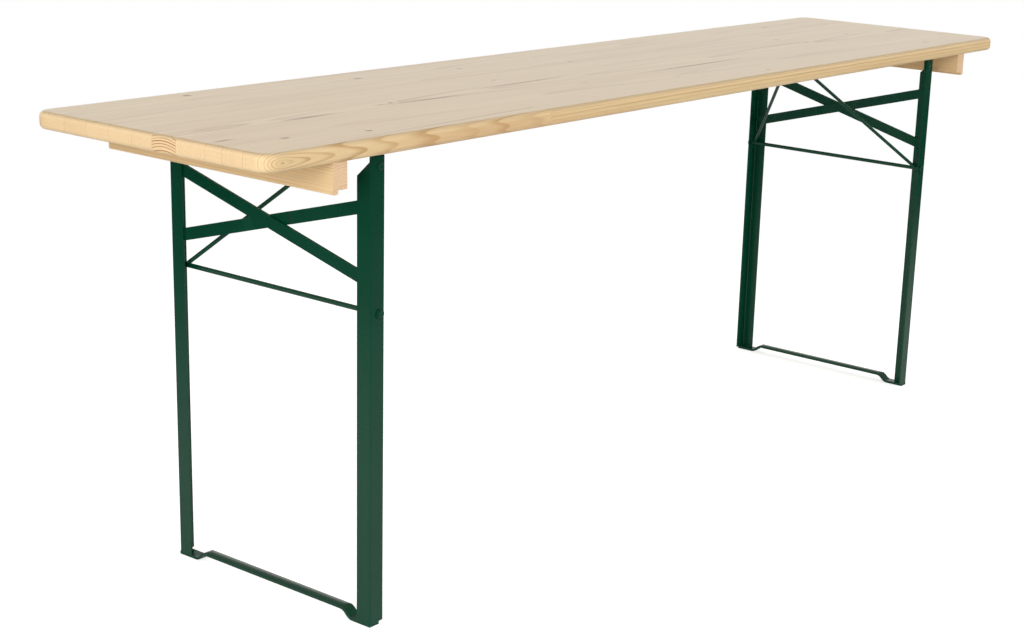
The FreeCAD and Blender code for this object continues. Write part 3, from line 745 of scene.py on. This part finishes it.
def dress(node: str, material: Material) -> None:
    """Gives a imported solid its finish.

    Args:
        node: Name of the solid.
        material: The finish.
    """
    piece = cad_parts[node]
    piece.data.materials.clear()
    piece.data.materials.append(material)
    LOG.info("dressed %s with %s", node, material.name)


def add_object(name: str, data: bpy.types.ID) -> Object:
    """Puts a mesh, lamp or camera into the scene.

    Args:
        name: Name of the object.
        data: What it shows.

    Returns:
        The object.
    """
    thing = bpy.data.objects.new(name, data)
    bpy.context.scene.collection.objects.link(thing)
    return thing


def new_piece(name: str, mesh: BMesh, body: str, material: Material) -> Object:
    """Turns a finished mesh into a piece that rides on a body.

    Args:
        name: Name of the piece.
        mesh: Its mesh, which is used up.
        body: Body that carries it.
        material: Its finish.

    Returns:
        The piece.
    """
    bmesh.ops.recalc_face_normals(mesh, faces=mesh.faces)
    data = bpy.data.meshes.new(name)
    mesh.to_mesh(data)
    mesh.free()
    data.shade_smooth()
    data.materials.append(material)
    piece = add_object(name, data)
    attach(piece, body)
    LOG.info("built %s on %s, %d faces", name, body, len(data.polygons))
    return piece


def islands(node: str) -> List[Box]:
    """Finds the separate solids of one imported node.

    Args:
        node: Name of the node.

    Returns:
        Lowest and highest corner of each solid.
    """
    mesh = bmesh.new()
    mesh.from_mesh(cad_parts[node].data)
    bmesh.ops.remove_doubles(mesh, verts=mesh.verts, dist=SAME_POINT)
    waiting = set(mesh.verts)
    boxes = []
    while waiting:
        reached = [waiting.pop()]
        found = []
        while reached:
            vert = reached.pop()
            found.append(vert.co)
            beside = {edge.other_vert(vert) for edge in vert.link_edges} & waiting
            waiting -= beside
            reached.extend(beside)
        lows = Vector(tuple(min(point[axis] for point in found) for axis in range(3)))
        highs = Vector(tuple(max(point[axis] for point in found) for axis in range(3)))
        boxes.append((lows, highs))
    mesh.free()
    return sorted(boxes, key=lambda pair: tuple(round(value, ORDER_DIGITS) for value in pair[0]))


def turns(count: int) -> List[float]:
    """Angles of points that stand evenly round a circle."""
    return [2 * math.pi * number / count for number in range(count)]


def loft(mesh: BMesh, rings: Sequence[Ring]) -> None:
    """Joins a row of rings of as many points by bands of faces.

    Args:
        mesh: Mesh to build in.
        rings: The rings.
    """
    for first, second in zip(rings, rings[1:]):
        for side in range(len(first)):
            after = (side + 1) % len(first)
            mesh.faces.new((first[side], second[side], second[after], first[after]))


def fan(mesh: BMesh, point: BMVert, ring: Ring) -> None:
    """Closes a ring by faces that meet in a point.

    Args:
        mesh: Mesh to build in.
        point: The point.
        ring: The ring.
    """
    for side, vert in enumerate(ring):
        mesh.faces.new((point, vert, ring[(side + 1) % len(ring)]))


@dataclass
class TableTop:
    """The edge-glued boards of the top and the battens under them."""

    wood: Softwood = field(default_factory=Softwood)
    batten_wood: Softwood = field(default_factory=lambda: Softwood(
        early=srgb(236, 205, 158), late=srgb(200, 158, 108), end_early=srgb(240, 206, 168),
        end_late=srgb(200, 148, 112), coat=0.1, edge_coat=0.1, roughness=0.55))
    boards: Tuple[Stick, ...] = (
        Stick(Log(-1.0690, -0.2500, 0.7565, 0.075, -0.004, 0.0036, 1.2, 0.0010, 0.005), 11.0, 1.0, 0.70, 0.40,
              joint=FingerJoint(-0.492), beyond=Log(-0.492, -0.310, 0.700, -0.012, 0.020)),
        Stick(Log(-1.100, -0.1450, 0.6500, 0.002, 0.010, 0.0040), 22.0, 0.985, 0.50, 0.15),
        Stick(Log(-1.100, -0.1700, 0.7150, 0.004, -0.006, 0.0040), 33.0, 1.0, 0.70, 0.20),
        Stick(Log(-1.100, -0.0450, 0.6820, 0.003, 0.016, 0.0044, wander=0.003), 44.0, 0.99, 0.85, 1.8),
        Stick(Log(-1.100, 0.0700, 0.8600, -0.004, 0.008, 0.0036), 55.0, 0.975, 0.42, 0.10),
        Stick(Log(-1.100, 0.1700, 0.7600, 0.008, 0.002, 0.0028), 66.0, 0.99, 0.40, 0.15),
        Stick(Log(-1.100, 0.0950, 0.6700, -0.003, 0.012, 0.0040), 77.0, 0.985, 0.42, 0.15),
        Stick(Log(-1.100, 0.2500, 0.6900, 0.006, 0.010, 0.0038), 88.0, 0.97, 0.42, 0.25),
        Stick(Log(-1.100, 0.1800, 0.8500, 0.002, -0.014, 0.0036), 99.0, 0.98, 0.45, 0.20),
        Stick(Log(-1.100, 0.3000, 0.7400, 0.005, 0.004, 0.0034), 110.0, 0.985, 0.42, 0.15),
    )
    knots: Tuple[Mark, ...] = (
        Mark(-0.986, -0.165, 0.0108, 0.0072), Mark(-0.853, -0.201, 0.0081, 0.0055),
        Mark(-0.835, 0.214, 0.0095, 0.0077), Mark(-0.641, -0.042, 0.0068, 0.0044),
        Mark(-0.488, 0.180, 0.0121, 0.0077, strength=0.75),
    )
    faint_knots: Tuple[Mark, ...] = (
        Mark(-0.316, 0.020, 0.0081, 0.0055), Mark(-0.254, 0.155, 0.0095, 0.0066),
        Mark(-0.216, -0.101, 0.0068, 0.0055), Mark(-0.012, 0.090, 0.0095, 0.0066),
        Mark(-0.016, -0.163, 0.0054, 0.0044), Mark(0.102, 0.024, 0.0081, 0.0055),
        Mark(0.202, -0.216, 0.0081, 0.0055), Mark(0.632, 0.034, 0.0108, 0.0066),
        Mark(0.642, -0.033, 0.0108, 0.0066), Mark(0.817, 0.178, 0.0121, 0.0077),
        Mark(0.865, -0.003, 0.0095, 0.0066), Mark(0.875, -0.194, 0.0108, 0.0066),
    )
    faint_strength: float = 0.5
    reds: Tuple[Mark, ...] = (
        Mark(-1.064, -0.128, 0.022, 0.006), Mark(-0.995, -0.045, 0.060, 0.012, True),
        Mark(-0.838, -0.060, 0.070, 0.006), Mark(-0.560, -0.055, 0.120, 0.004),
        Mark(-0.300, -0.030, 0.160, 0.004), Mark(0.150, -0.090, 0.200, 0.005),
        Mark(0.560, -0.020, 0.150, 0.005),
    )
    batten: Stick = Stick(Log(0.0, 0.012, -0.035, 0.004, 0.012, 0.0038), 130.0, ring_strength=0.45,
                          end_strength=0.5, grain=Grain.ACROSS_TABLE)

    def dress(self) -> None:
        """Gives every board and batten its own wood."""
        sides = max(CAD_BOX[1].y, -CAD_BOX[0].y) - MILLIMETRE
        all_knots = self.knots + tuple(replace(mark, strength=self.faint_strength) for mark in self.faint_knots)
        for number, stick in enumerate(self.boards, start=1):
            node = f"top_stave_{number:02d}"
            low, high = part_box(node)
            knots = tuple(mark for mark in all_knots if low.y < mark.y < high.y)
            reds = tuple(mark for mark in self.reds if low.y < mark.y < high.y)
            glued = tuple(side for side in (low.y, high.y) if abs(side) < sides)
            marked = replace(stick, knots=knots, reds=reds, glued_sides=glued)
            dress(node, self.wood.material(f"pine_{node}", marked))
        for end in End:
            node = f"end_batten_{end.word}"
            low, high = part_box(node)
            log = self.batten.log
            log = replace(log, pith_y=(low.x + high.x) / 2 + log.pith_y, pith_z=low.z + log.pith_z)
            stick = replace(self.batten, log=log, seed=self.batten.seed + end.value)
            dress(node, self.batten_wood.material(f"pine_{node}", stick))


@dataclass
class WoodScrews:
    """Round-headed screws with a cross recess and a thread, in place of the plain ones."""

    finish: SteelSkin = ZINC_PLATE
    nodes: Tuple[str, ...] = ("batten_screws", "bracket_screws", "catch_screws")
    sides: int = 28
    head_radius: float = 4.5 * MILLIMETRE
    head_height: float = 3.0 * MILLIMETRE
    rim_height: float = 0.7 * MILLIMETRE
    dome_power: float = 2.6
    dome_rings: int = 7
    core_radius: float = 1.8 * MILLIMETRE
    thread_radius: float = 2.5 * MILLIMETRE
    thread_pitch: float = 2.2 * MILLIMETRE
    thread_width: float = 0.28
    thread_fade: float = 10.0 * MILLIMETRE
    plain_shank: float = 4.0 * MILLIMETRE
    neck: float = 0.01 * MILLIMETRE
    rings_per_turn: int = 5
    recess_reach: float = 2.6 * MILLIMETRE
    recess_width: float = 1.1 * MILLIMETRE
    recess_depth: float = 1.9 * MILLIMETRE
    recess_slope: float = 0.55
    recess_rings: Tuple[float, ...] = (0.25, 0.5, 0.75, 0.98, 1.02)
    random_seed: int = 7

    def ring(self, mesh: BMesh, seat: Vector, places: Sequence[Span], spin: float = 0.0) -> Ring:
        """Adds one ring of points round the screw's axis.

        Args:
            mesh: Mesh to build in.
            seat: Middle of the head's bearing face.
            places: Radius of each point and its height above the seat.
            spin: How far the ring is turned.

        Returns:
            The ring.
        """
        ring = []
        for turn, (radius, height) in zip(turns(self.sides), places):
            spot = Vector((radius * math.cos(turn + spin), radius * math.sin(turn + spin), height))
            ring.append(mesh.verts.new(seat + spot))
        return ring

    def recess(self, radius: float, turn: float) -> float:
        """Depth of the cross recess at a place on the head.

        Args:
            radius: Distance from the axis.
            turn: Angle round the axis.

        Returns:
            How far the surface lies below the dome.
        """
        quarter = math.pi / 2
        off = abs((turn + quarter / 2) % quarter - quarter / 2)
        across = radius * math.sin(off)
        if radius > self.recess_reach or across > self.recess_width / 2:
            return 0.0
        return self.recess_depth * (1 - self.recess_slope * radius / self.recess_reach)

    def head_radii(self) -> List[float]:
        """Radii of the head's rings, close together at the end of the recess."""
        inner = [self.recess_reach * share for share in self.recess_rings]
        outer = [self.recess_reach + (self.head_radius - self.recess_reach) * (step + 1) / self.dome_rings
                 for step in range(self.dome_rings)]
        return inner + outer

    def head(self, mesh: BMesh, seat: Vector, spin: float) -> Ring:
        """Builds the domed head with its recess, hanging below its seat.

        Args:
            mesh: Mesh to build in.
            seat: Middle of the head's bearing face.
            spin: How far the recess is turned.

        Returns:
            The ring of the head's rim.
        """
        rings = []
        for radius in self.head_radii():
            bulge = math.sqrt(max(0.0, 1 - (radius / self.head_radius) ** self.dome_power))
            dome = self.rim_height + (self.head_height - self.rim_height) * bulge
            places = [(radius, self.recess(radius, turn) - dome) for turn in turns(self.sides)]
            rings.append(self.ring(mesh, seat, places, spin))
        middle = mesh.verts.new(seat - Vector((0, 0, self.head_height - self.recess_depth)))
        fan(mesh, middle, rings[0])
        loft(mesh, rings)
        return rings[-1]

    def thread(self, height: float, length: float, turn: float) -> float:
        """Radius of the threaded shank.

        Args:
            height: Height above the seat.
            length: Length of the shank.
            turn: Angle round the axis.

        Returns:
            The radius at that place.
        """
        if height < self.plain_shank:
            return self.core_radius
        phase = (height / self.thread_pitch - turn / (2 * math.pi)) % 1.0
        ridge = max(0.0, 1 - abs(phase - 0.5) / self.thread_width)
        fade = min(1.0, (length - height) / self.thread_fade)
        return (self.core_radius + (self.thread_radius - self.core_radius) * ridge) * fade

    def shank(self, mesh: BMesh, seat: Vector, tip: float, rim: Ring) -> None:
        """Builds the underside of the head, the shank and its thread up to the tip.

        Args:
            mesh: Mesh to build in.
            seat: Middle of the head's bearing face.
            tip: Height of the screw's point.
            rim: Ring of the head's rim.
        """
        length = tip - seat.z
        step = self.thread_pitch / self.rings_per_turn
        count = int((length - self.thread_radius) / step)
        rings = [rim, self.ring(mesh, seat, [(self.head_radius, 0.0)] * self.sides)]
        for number in range(count + 1):
            height = self.neck + number * step
            places = [(self.thread(height, length, turn), height) for turn in turns(self.sides)]
            rings.append(self.ring(mesh, seat, places))
        loft(mesh, rings)
        fan(mesh, mesh.verts.new(Vector((seat.x, seat.y, tip))), rings[-1])

    def build(self) -> None:
        """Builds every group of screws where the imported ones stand."""
        chance = random.Random(self.random_seed)
        material = self.finish.material("zinc_plate")
        for node in self.nodes:
            mesh = bmesh.new()
            for low, high in islands(node):
                seat = Vector(((low.x + high.x) / 2, (low.y + high.y) / 2, low.z + self.head_height))
                rim = self.head(mesh, seat, chance.uniform(0, math.pi / 2))
                self.shank(mesh, seat, high.z, rim)
            piece = new_piece(f"{node}_cut", mesh, "tabletop", material)
            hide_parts(node)


@dataclass(frozen=True)
class Bead:
    """One weld bead, by points along its middle and its radius, open or ending where it starts."""

    path: Sequence[Vector]
    radius: float
    closed: bool = False


@dataclass
class Trestles:
    """The two folding trestles, their bails and the welds that hold them together."""

    paint: SteelSkin = GREEN_ENAMEL
    spring: SteelSkin = BLUED_STEEL
    bar_width: float = 20 * MILLIMETRE
    brace_rise: float = 114 * MILLIMETRE
    angle_wall: float = 3 * MILLIMETRE
    rod_radius: float = 4 * MILLIMETRE
    loop_radius: float = 3.5 * MILLIMETRE
    bead_radius: float = 2.4 * MILLIMETRE
    side_bead_radius: float = 1.92 * MILLIMETRE
    bail_bead_radius: float = 1.5 * MILLIMETRE
    bead_pitch: float = 2.6 * MILLIMETRE
    bead_sides: int = 10
    points_per_ripple: int = 5
    fewest_points: int = 6
    ripple: float = 0.22
    thinnest_end: float = 0.25
    taper_power: int = 8
    brace_end_bead: float = 9 * MILLIMETRE
    brace_side_bead: float = 14 * MILLIMETRE
    foot_bead_start: float = 5 * MILLIMETRE
    foot_bead: float = 16 * MILLIMETRE
    bail_points: int = 36
    bail_lift: Point = (0.4 * MILLIMETRE, 0.2 * MILLIMETRE, 0.3 * MILLIMETRE)

    def dress(self) -> Material:
        """Paints the steel and finishes the springs.

        Returns:
            The paint.
        """
        green = self.paint.material("green_enamel")
        blued = self.spring.material("blued_spring_steel")
        for end in End:
            pairs = [f"{stem}_{end.word}_{side.word}" for stem in ("leg", "hinge_bracket") for side in Side]
            braces = [f"brace_{end.word}_{name}" for name in ("outer", "inner")]
            singles = [f"{stem}_{end.word}" for stem in
                       ("foot_bar", "hinge_rivets", "bail_pivot_rod", "bail_washers", "bail_loop")]
            for node in pairs + braces + singles:
                dress(node, green)
            dress(f"catch_spring_{end.word}", blued)
        return green

    def lay(self, mesh: BMesh, bead: Bead) -> None:
        """Lays one rippled bead.

        Args:
            mesh: Mesh to build in.
            bead: The bead.
        """
        travelled = 0.0
        rings = []
        path = bead.path
        last = len(path) - 1
        for number, point in enumerate(path):
            before = path[number - 1 if number or bead.closed else 0]
            after = path[(number + 1) % len(path) if number < last or bead.closed else last]
            heading = (after - before).normalized()
            across = heading.orthogonal().normalized()
            lift = heading.cross(across)
            travelled += (point - path[number - 1]).length if number else 0.0
            swell = 1 - self.ripple * abs(math.cos(math.pi * travelled / self.bead_pitch))
            taper = 1.0 if bead.closed else max(self.thinnest_end, 1 - abs(2 * number / last - 1) ** self.taper_power)
            rings.append([mesh.verts.new(point + (across * math.cos(turn) + lift * math.sin(turn))
                                         * bead.radius * swell * taper) for turn in turns(self.bead_sides)])
        if bead.closed:
            rings.append(rings[0])
        else:
            mesh.faces.new(rings[0])
            mesh.faces.new(rings[-1])
        loft(mesh, rings)

    def run(self, start: Vector, stop: Vector) -> List[Vector]:
        """Points of a straight bead, a few to each ripple."""
        count = max(self.fewest_points, int((stop - start).length / (self.bead_pitch / self.points_per_ripple)))
        return [start.lerp(stop, step / count) for step in range(count + 1)]

    def brace_beads(self, end: End) -> List[Bead]:
        """Welds the ends of the braces to the legs.

        Args:
            end: Which trestle.

        Returns:
            The beads, across each end of a brace and along its two edges.
        """
        beads = []
        for name, slope in (("outer", 1), ("inner", -1)):
            low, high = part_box(f"brace_{end.word}_{name}")
            face = high.x if end is End.RIGHT else low.x
            angle = math.atan2(self.brace_rise, high.y - low.y)
            half = ((high.y - low.y) / 2 - self.bar_width / 2 * math.sin(angle)) / math.cos(angle)
            along = Vector((0, math.cos(angle), slope * math.sin(angle)))
            across = Vector((0, -slope * math.sin(angle), math.cos(angle)))
            middle = Vector((face, 0, (low.z + high.z) / 2))
            for side in Side:
                tip = middle + along * half * side.value
                reach = across * self.brace_end_bead
                beads.append(Bead(self.run(tip - reach, tip + reach), self.bead_radius))
                for edge in (-1, 1):
                    corner = tip + across * edge * self.bar_width / 2
                    inwards = corner - along * side.value * self.brace_side_bead
                    beads.append(Bead(self.run(corner, inwards), self.side_bead_radius))
        return beads

    def foot_beads(self, end: End) -> List[Bead]:
        """Welds the legs to the foot bar.

        Args:
            end: Which trestle.

        Returns:
            The beads, in the corners inside each angle.
        """
        beads = []
        for side in Side:
            low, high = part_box(f"leg_{end.word}_{side.word}")
            corner = Vector((end.value * (max(abs(low.x), abs(high.x)) - self.angle_wall),
                             side.value * (max(abs(low.y), abs(high.y)) - self.angle_wall), low.z))
            for heading in (Vector((-end.value, 0, 0)), Vector((0, -side.value, 0))):
                start = corner + heading * self.foot_bead_start
                beads.append(Bead(self.run(start, start + heading * self.foot_bead), self.bead_radius))
        return beads

    def bail_beads(self, end: End) -> List[Bead]:
        """Welds the feet of the bail's loop to its pivot rod.

        Args:
            end: Which trestle.

        Returns:
            The beads, round each foot on the curve of the rod.
        """
        beads = []
        rod_low, rod_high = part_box(f"bail_pivot_rod_{end.word}")
        pivot = (rod_low + rod_high) / 2
        loop_low, loop_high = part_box(f"bail_loop_{end.word}")
        tip_x = loop_low.x if end is End.RIGHT else loop_high.x
        lean = Vector((tip_x - pivot.x, 0, loop_high.z - pivot.z)).normalized()
        around = Vector((0, 1, 0)).cross(lean)
        for side in Side:
            foot_y = side.value * (max(abs(loop_low.y), abs(loop_high.y)) - self.loop_radius)
            middle = Vector((pivot.x, foot_y, pivot.z))
            ring = []
            for turn in turns(self.bail_points):
                sideways = (self.loop_radius + self.bail_lift[0]) * math.cos(turn)
                swing = (self.loop_radius + self.bail_lift[1]) * math.sin(turn)
                rise = math.sqrt(max(0.0, (self.rod_radius + self.bail_lift[2]) ** 2 - swing ** 2))
                ring.append(middle + Vector((0, sideways, 0)) + around * swing + lean * rise)
            beads.append(Bead(ring, self.bail_bead_radius, closed=True))
        return beads

    def build(self, paint: Material) -> None:
        """Lays every weld of both trestles.

        Args:
            paint: Finish of the beads.
        """
        for end in End:
            for joint, body, beads in (("brace", "trestle", self.brace_beads(end)),
                                       ("foot", "trestle", self.foot_beads(end)),
                                       ("bail", "bail", self.bail_beads(end))):
                mesh = bmesh.new()
                for bead in beads:
                    self.lay(mesh, bead)
                new_piece(f"welds_{joint}_{end.word}", mesh, f"{body}_{end.word}", paint)


@dataclass(frozen=True)
class Lamp:
    """Soft square lamp, by where it hangs, what it points at, its side and its power in watts."""

    name: str
    spot: Point
    aim: Point
    side: float
    power: float


@dataclass
class Studio:
    """White floor, soft lamps and the photograph's camera."""

    lamps: Tuple[Lamp, ...] = (
        Lamp("key", (-4.6, -1.9, 1.6), (-0.6, 0.0, 0.6), 2.4, 150.0),
        Lamp("fill", (3.0, -5.4, 1.9), (1.0, 0.0, 0.6), 3.0, 155.0),
        Lamp("back", (2.5, 5.6, 1.5), (0.4, 0.0, 0.6), 3.5, 105.0),
    )
    white: Colour = (1.0, 1.0, 1.0, 1.0)
    world_light: float = 0.44
    world_tint: Colour = srgb(255, 253, 250)
    room_bright: float = 1.28
    room_dark: float = 0.32
    backdrop_top: Span = (0.24, 0.40)
    room_tint: Colour = (1.0, 0.972, 0.926, 1.0)
    floor_size: float = 60.0
    floor_level: float = -0.0003
    floor_lift: float = 0.60
    floor_shade: Colour = srgb(240, 240, 240)
    paper: Colour = srgb(243, 243, 241)
    # Painted shade: the floor's colour far from the table in light and reflections, dark for a floor less lit there,
    # reached over the distances on the next line.
    off_paper: Colour = srgb(48, 48, 48)
    painted_shade_ends: Span = (0.3, 2.2)
    shadow_ends: Span = (0.8, 2.0)
    table_half: Point = (1.1, 0.25, 1.0)
    eye: Point = (-2.7570, -2.0421, 1.2214)
    yaw: float = 0.9268
    pitch: float = 0.2780
    roll: float = -0.0368
    focal_share: float = 1838.05 / 1024
    shift: Span = (-0.0762, 0.0181)
    sensor: float = 36.0

    def build_world(self) -> None:
        """Lights the room evenly, shows it white, and mirrors a bright backdrop with a darker room above it."""
        world = bpy.data.worlds.new("studio")
        bpy.context.scene.world = world
        world.use_nodes = True
        graph = Graph(world.node_tree)
        world.node_tree.nodes.clear()
        path = graph.add("ShaderNodeLightPath")
        heading = graph.add("ShaderNodeTexCoord").outputs["Generated"]
        _, _, rise = graph.split(heading)
        mirrored = graph.smooth(rise, *self.backdrop_top, self.room_bright, self.room_dark)
        light = graph.add("ShaderNodeBackground", {"Color": self.world_tint, "Strength": self.world_light})
        room = graph.add("ShaderNodeBackground", {"Color": self.room_tint, "Strength": mirrored})
        shown = graph.add("ShaderNodeBackground", {"Color": self.white, "Strength": 1.0})
        lit = graph.mix_shaders(path.outputs["Is Glossy Ray"], light, room)
        both = graph.mix_shaders(path.outputs["Is Camera Ray"], lit, shown)
        graph.add("ShaderNodeOutputWorld", {"Surface": both.outputs[0]})

    def build_floor(self) -> None:
        """Lays a pale floor that keeps the table's shadow and fades into the white round it; in light and reflections
        it carries painted shade, darkening away from the table.
        """
        mesh = bmesh.new()
        bmesh.ops.create_grid(mesh, x_segments=1, y_segments=1, size=self.floor_size / 2)
        data = bpy.data.meshes.new("floor")
        mesh.to_mesh(data)
        mesh.free()
        floor = add_object("floor", data)
        floor.location.z = self.floor_level
        material, graph, shader = new_material("floor_white")
        material.node_tree.nodes.remove(shader)
        path = graph.add("ShaderNodeLightPath")
        spot = graph.add("ShaderNodeTexCoord").outputs["Object"]
        past = graph.vector("SUBTRACT", graph.vector("ABSOLUTE", spot), self.table_half)
        past = graph.vector("MAXIMUM", past, (0.0, 0.0, 0.0))
        distance = graph.add("ShaderNodeVectorMath", {0: past}, operation="LENGTH").outputs["Value"]
        # Painted shade: in light and reflections the floor turns from pale near the table to dark away from it,
        # standing for a floor less lit there.
        paper = graph.mix(graph.smooth(distance, *self.painted_shade_ends), self.paper, self.off_paper)
        lit = graph.add("ShaderNodeBsdfDiffuse", {"Color": paper})
        plain = graph.add("ShaderNodeBsdfDiffuse", {"Color": self.floor_shade})
        lift = graph.add("ShaderNodeEmission", {"Color": self.white, "Strength": self.floor_lift})
        bright = graph.add("ShaderNodeAddShader", {0: plain.outputs[0], 1: lift.outputs[0]})
        white = graph.add("ShaderNodeEmission", {"Color": self.white, "Strength": 1.0})
        away = graph.smooth(distance, *self.shadow_ends)
        shown = graph.mix_shaders(away, bright, white)
        both = graph.mix_shaders(path.outputs["Is Camera Ray"], lit, shown)
        graph.feed(material.node_tree.nodes["Material Output"].inputs["Surface"], both.outputs[0])
        data.materials.append(material)

    def build_lamps(self) -> None:
        """Hangs the lamps, which light the table and aren't mirrored in it."""
        for lamp in self.lamps:
            light = bpy.data.lights.new(lamp.name, "AREA")
            light.size = lamp.side
            light.energy = lamp.power
            holder = add_object(lamp.name, light)
            holder.location = lamp.spot
            holder.rotation_euler = (Vector(lamp.aim) - Vector(lamp.spot)).to_track_quat("-Z", "Y").to_euler()
            holder.visible_glossy = False

    def build_camera(self) -> None:
        """Sets the camera where the photograph was taken from."""
        data = bpy.data.cameras.new("photograph")
        data.sensor_width = self.sensor
        data.lens = self.focal_share * data.sensor_width
        data.shift_x, data.shift_y = self.shift
        camera = add_object("photograph", data)
        forward = Vector((math.sin(self.yaw) * math.cos(self.pitch), math.cos(self.yaw) * math.cos(self.pitch),
                          -math.sin(self.pitch)))
        level = Vector((math.cos(self.yaw), -math.sin(self.yaw), 0))
        down = forward.cross(level)
        right = level * math.cos(self.roll) + down * math.sin(self.roll)
        up = forward.cross(right) * -1
        axes = Matrix((right, up, forward * -1)).transposed()
        camera.matrix_world = Matrix.Translation(self.eye) @ axes.to_4x4()
        bpy.context.scene.camera = camera

    def build(self) -> None:
        """Builds the floor, the light and the camera."""
        self.build_world()
        self.build_floor()
        self.build_lamps()
        self.build_camera()
        bpy.context.scene.view_settings.view_transform = "Standard"


def main() -> None:
    """Builds and dresses the table, then sets the stage."""
    logging.basicConfig(level=logging.INFO, format="%(name)s: %(message)s")
    TableTop().dress()
    trestles = Trestles()
    paint = trestles.dress()
    trestles.build(paint)
    WoodScrews().build()
    Studio().build()


if __name__ == "__main__":
    main()
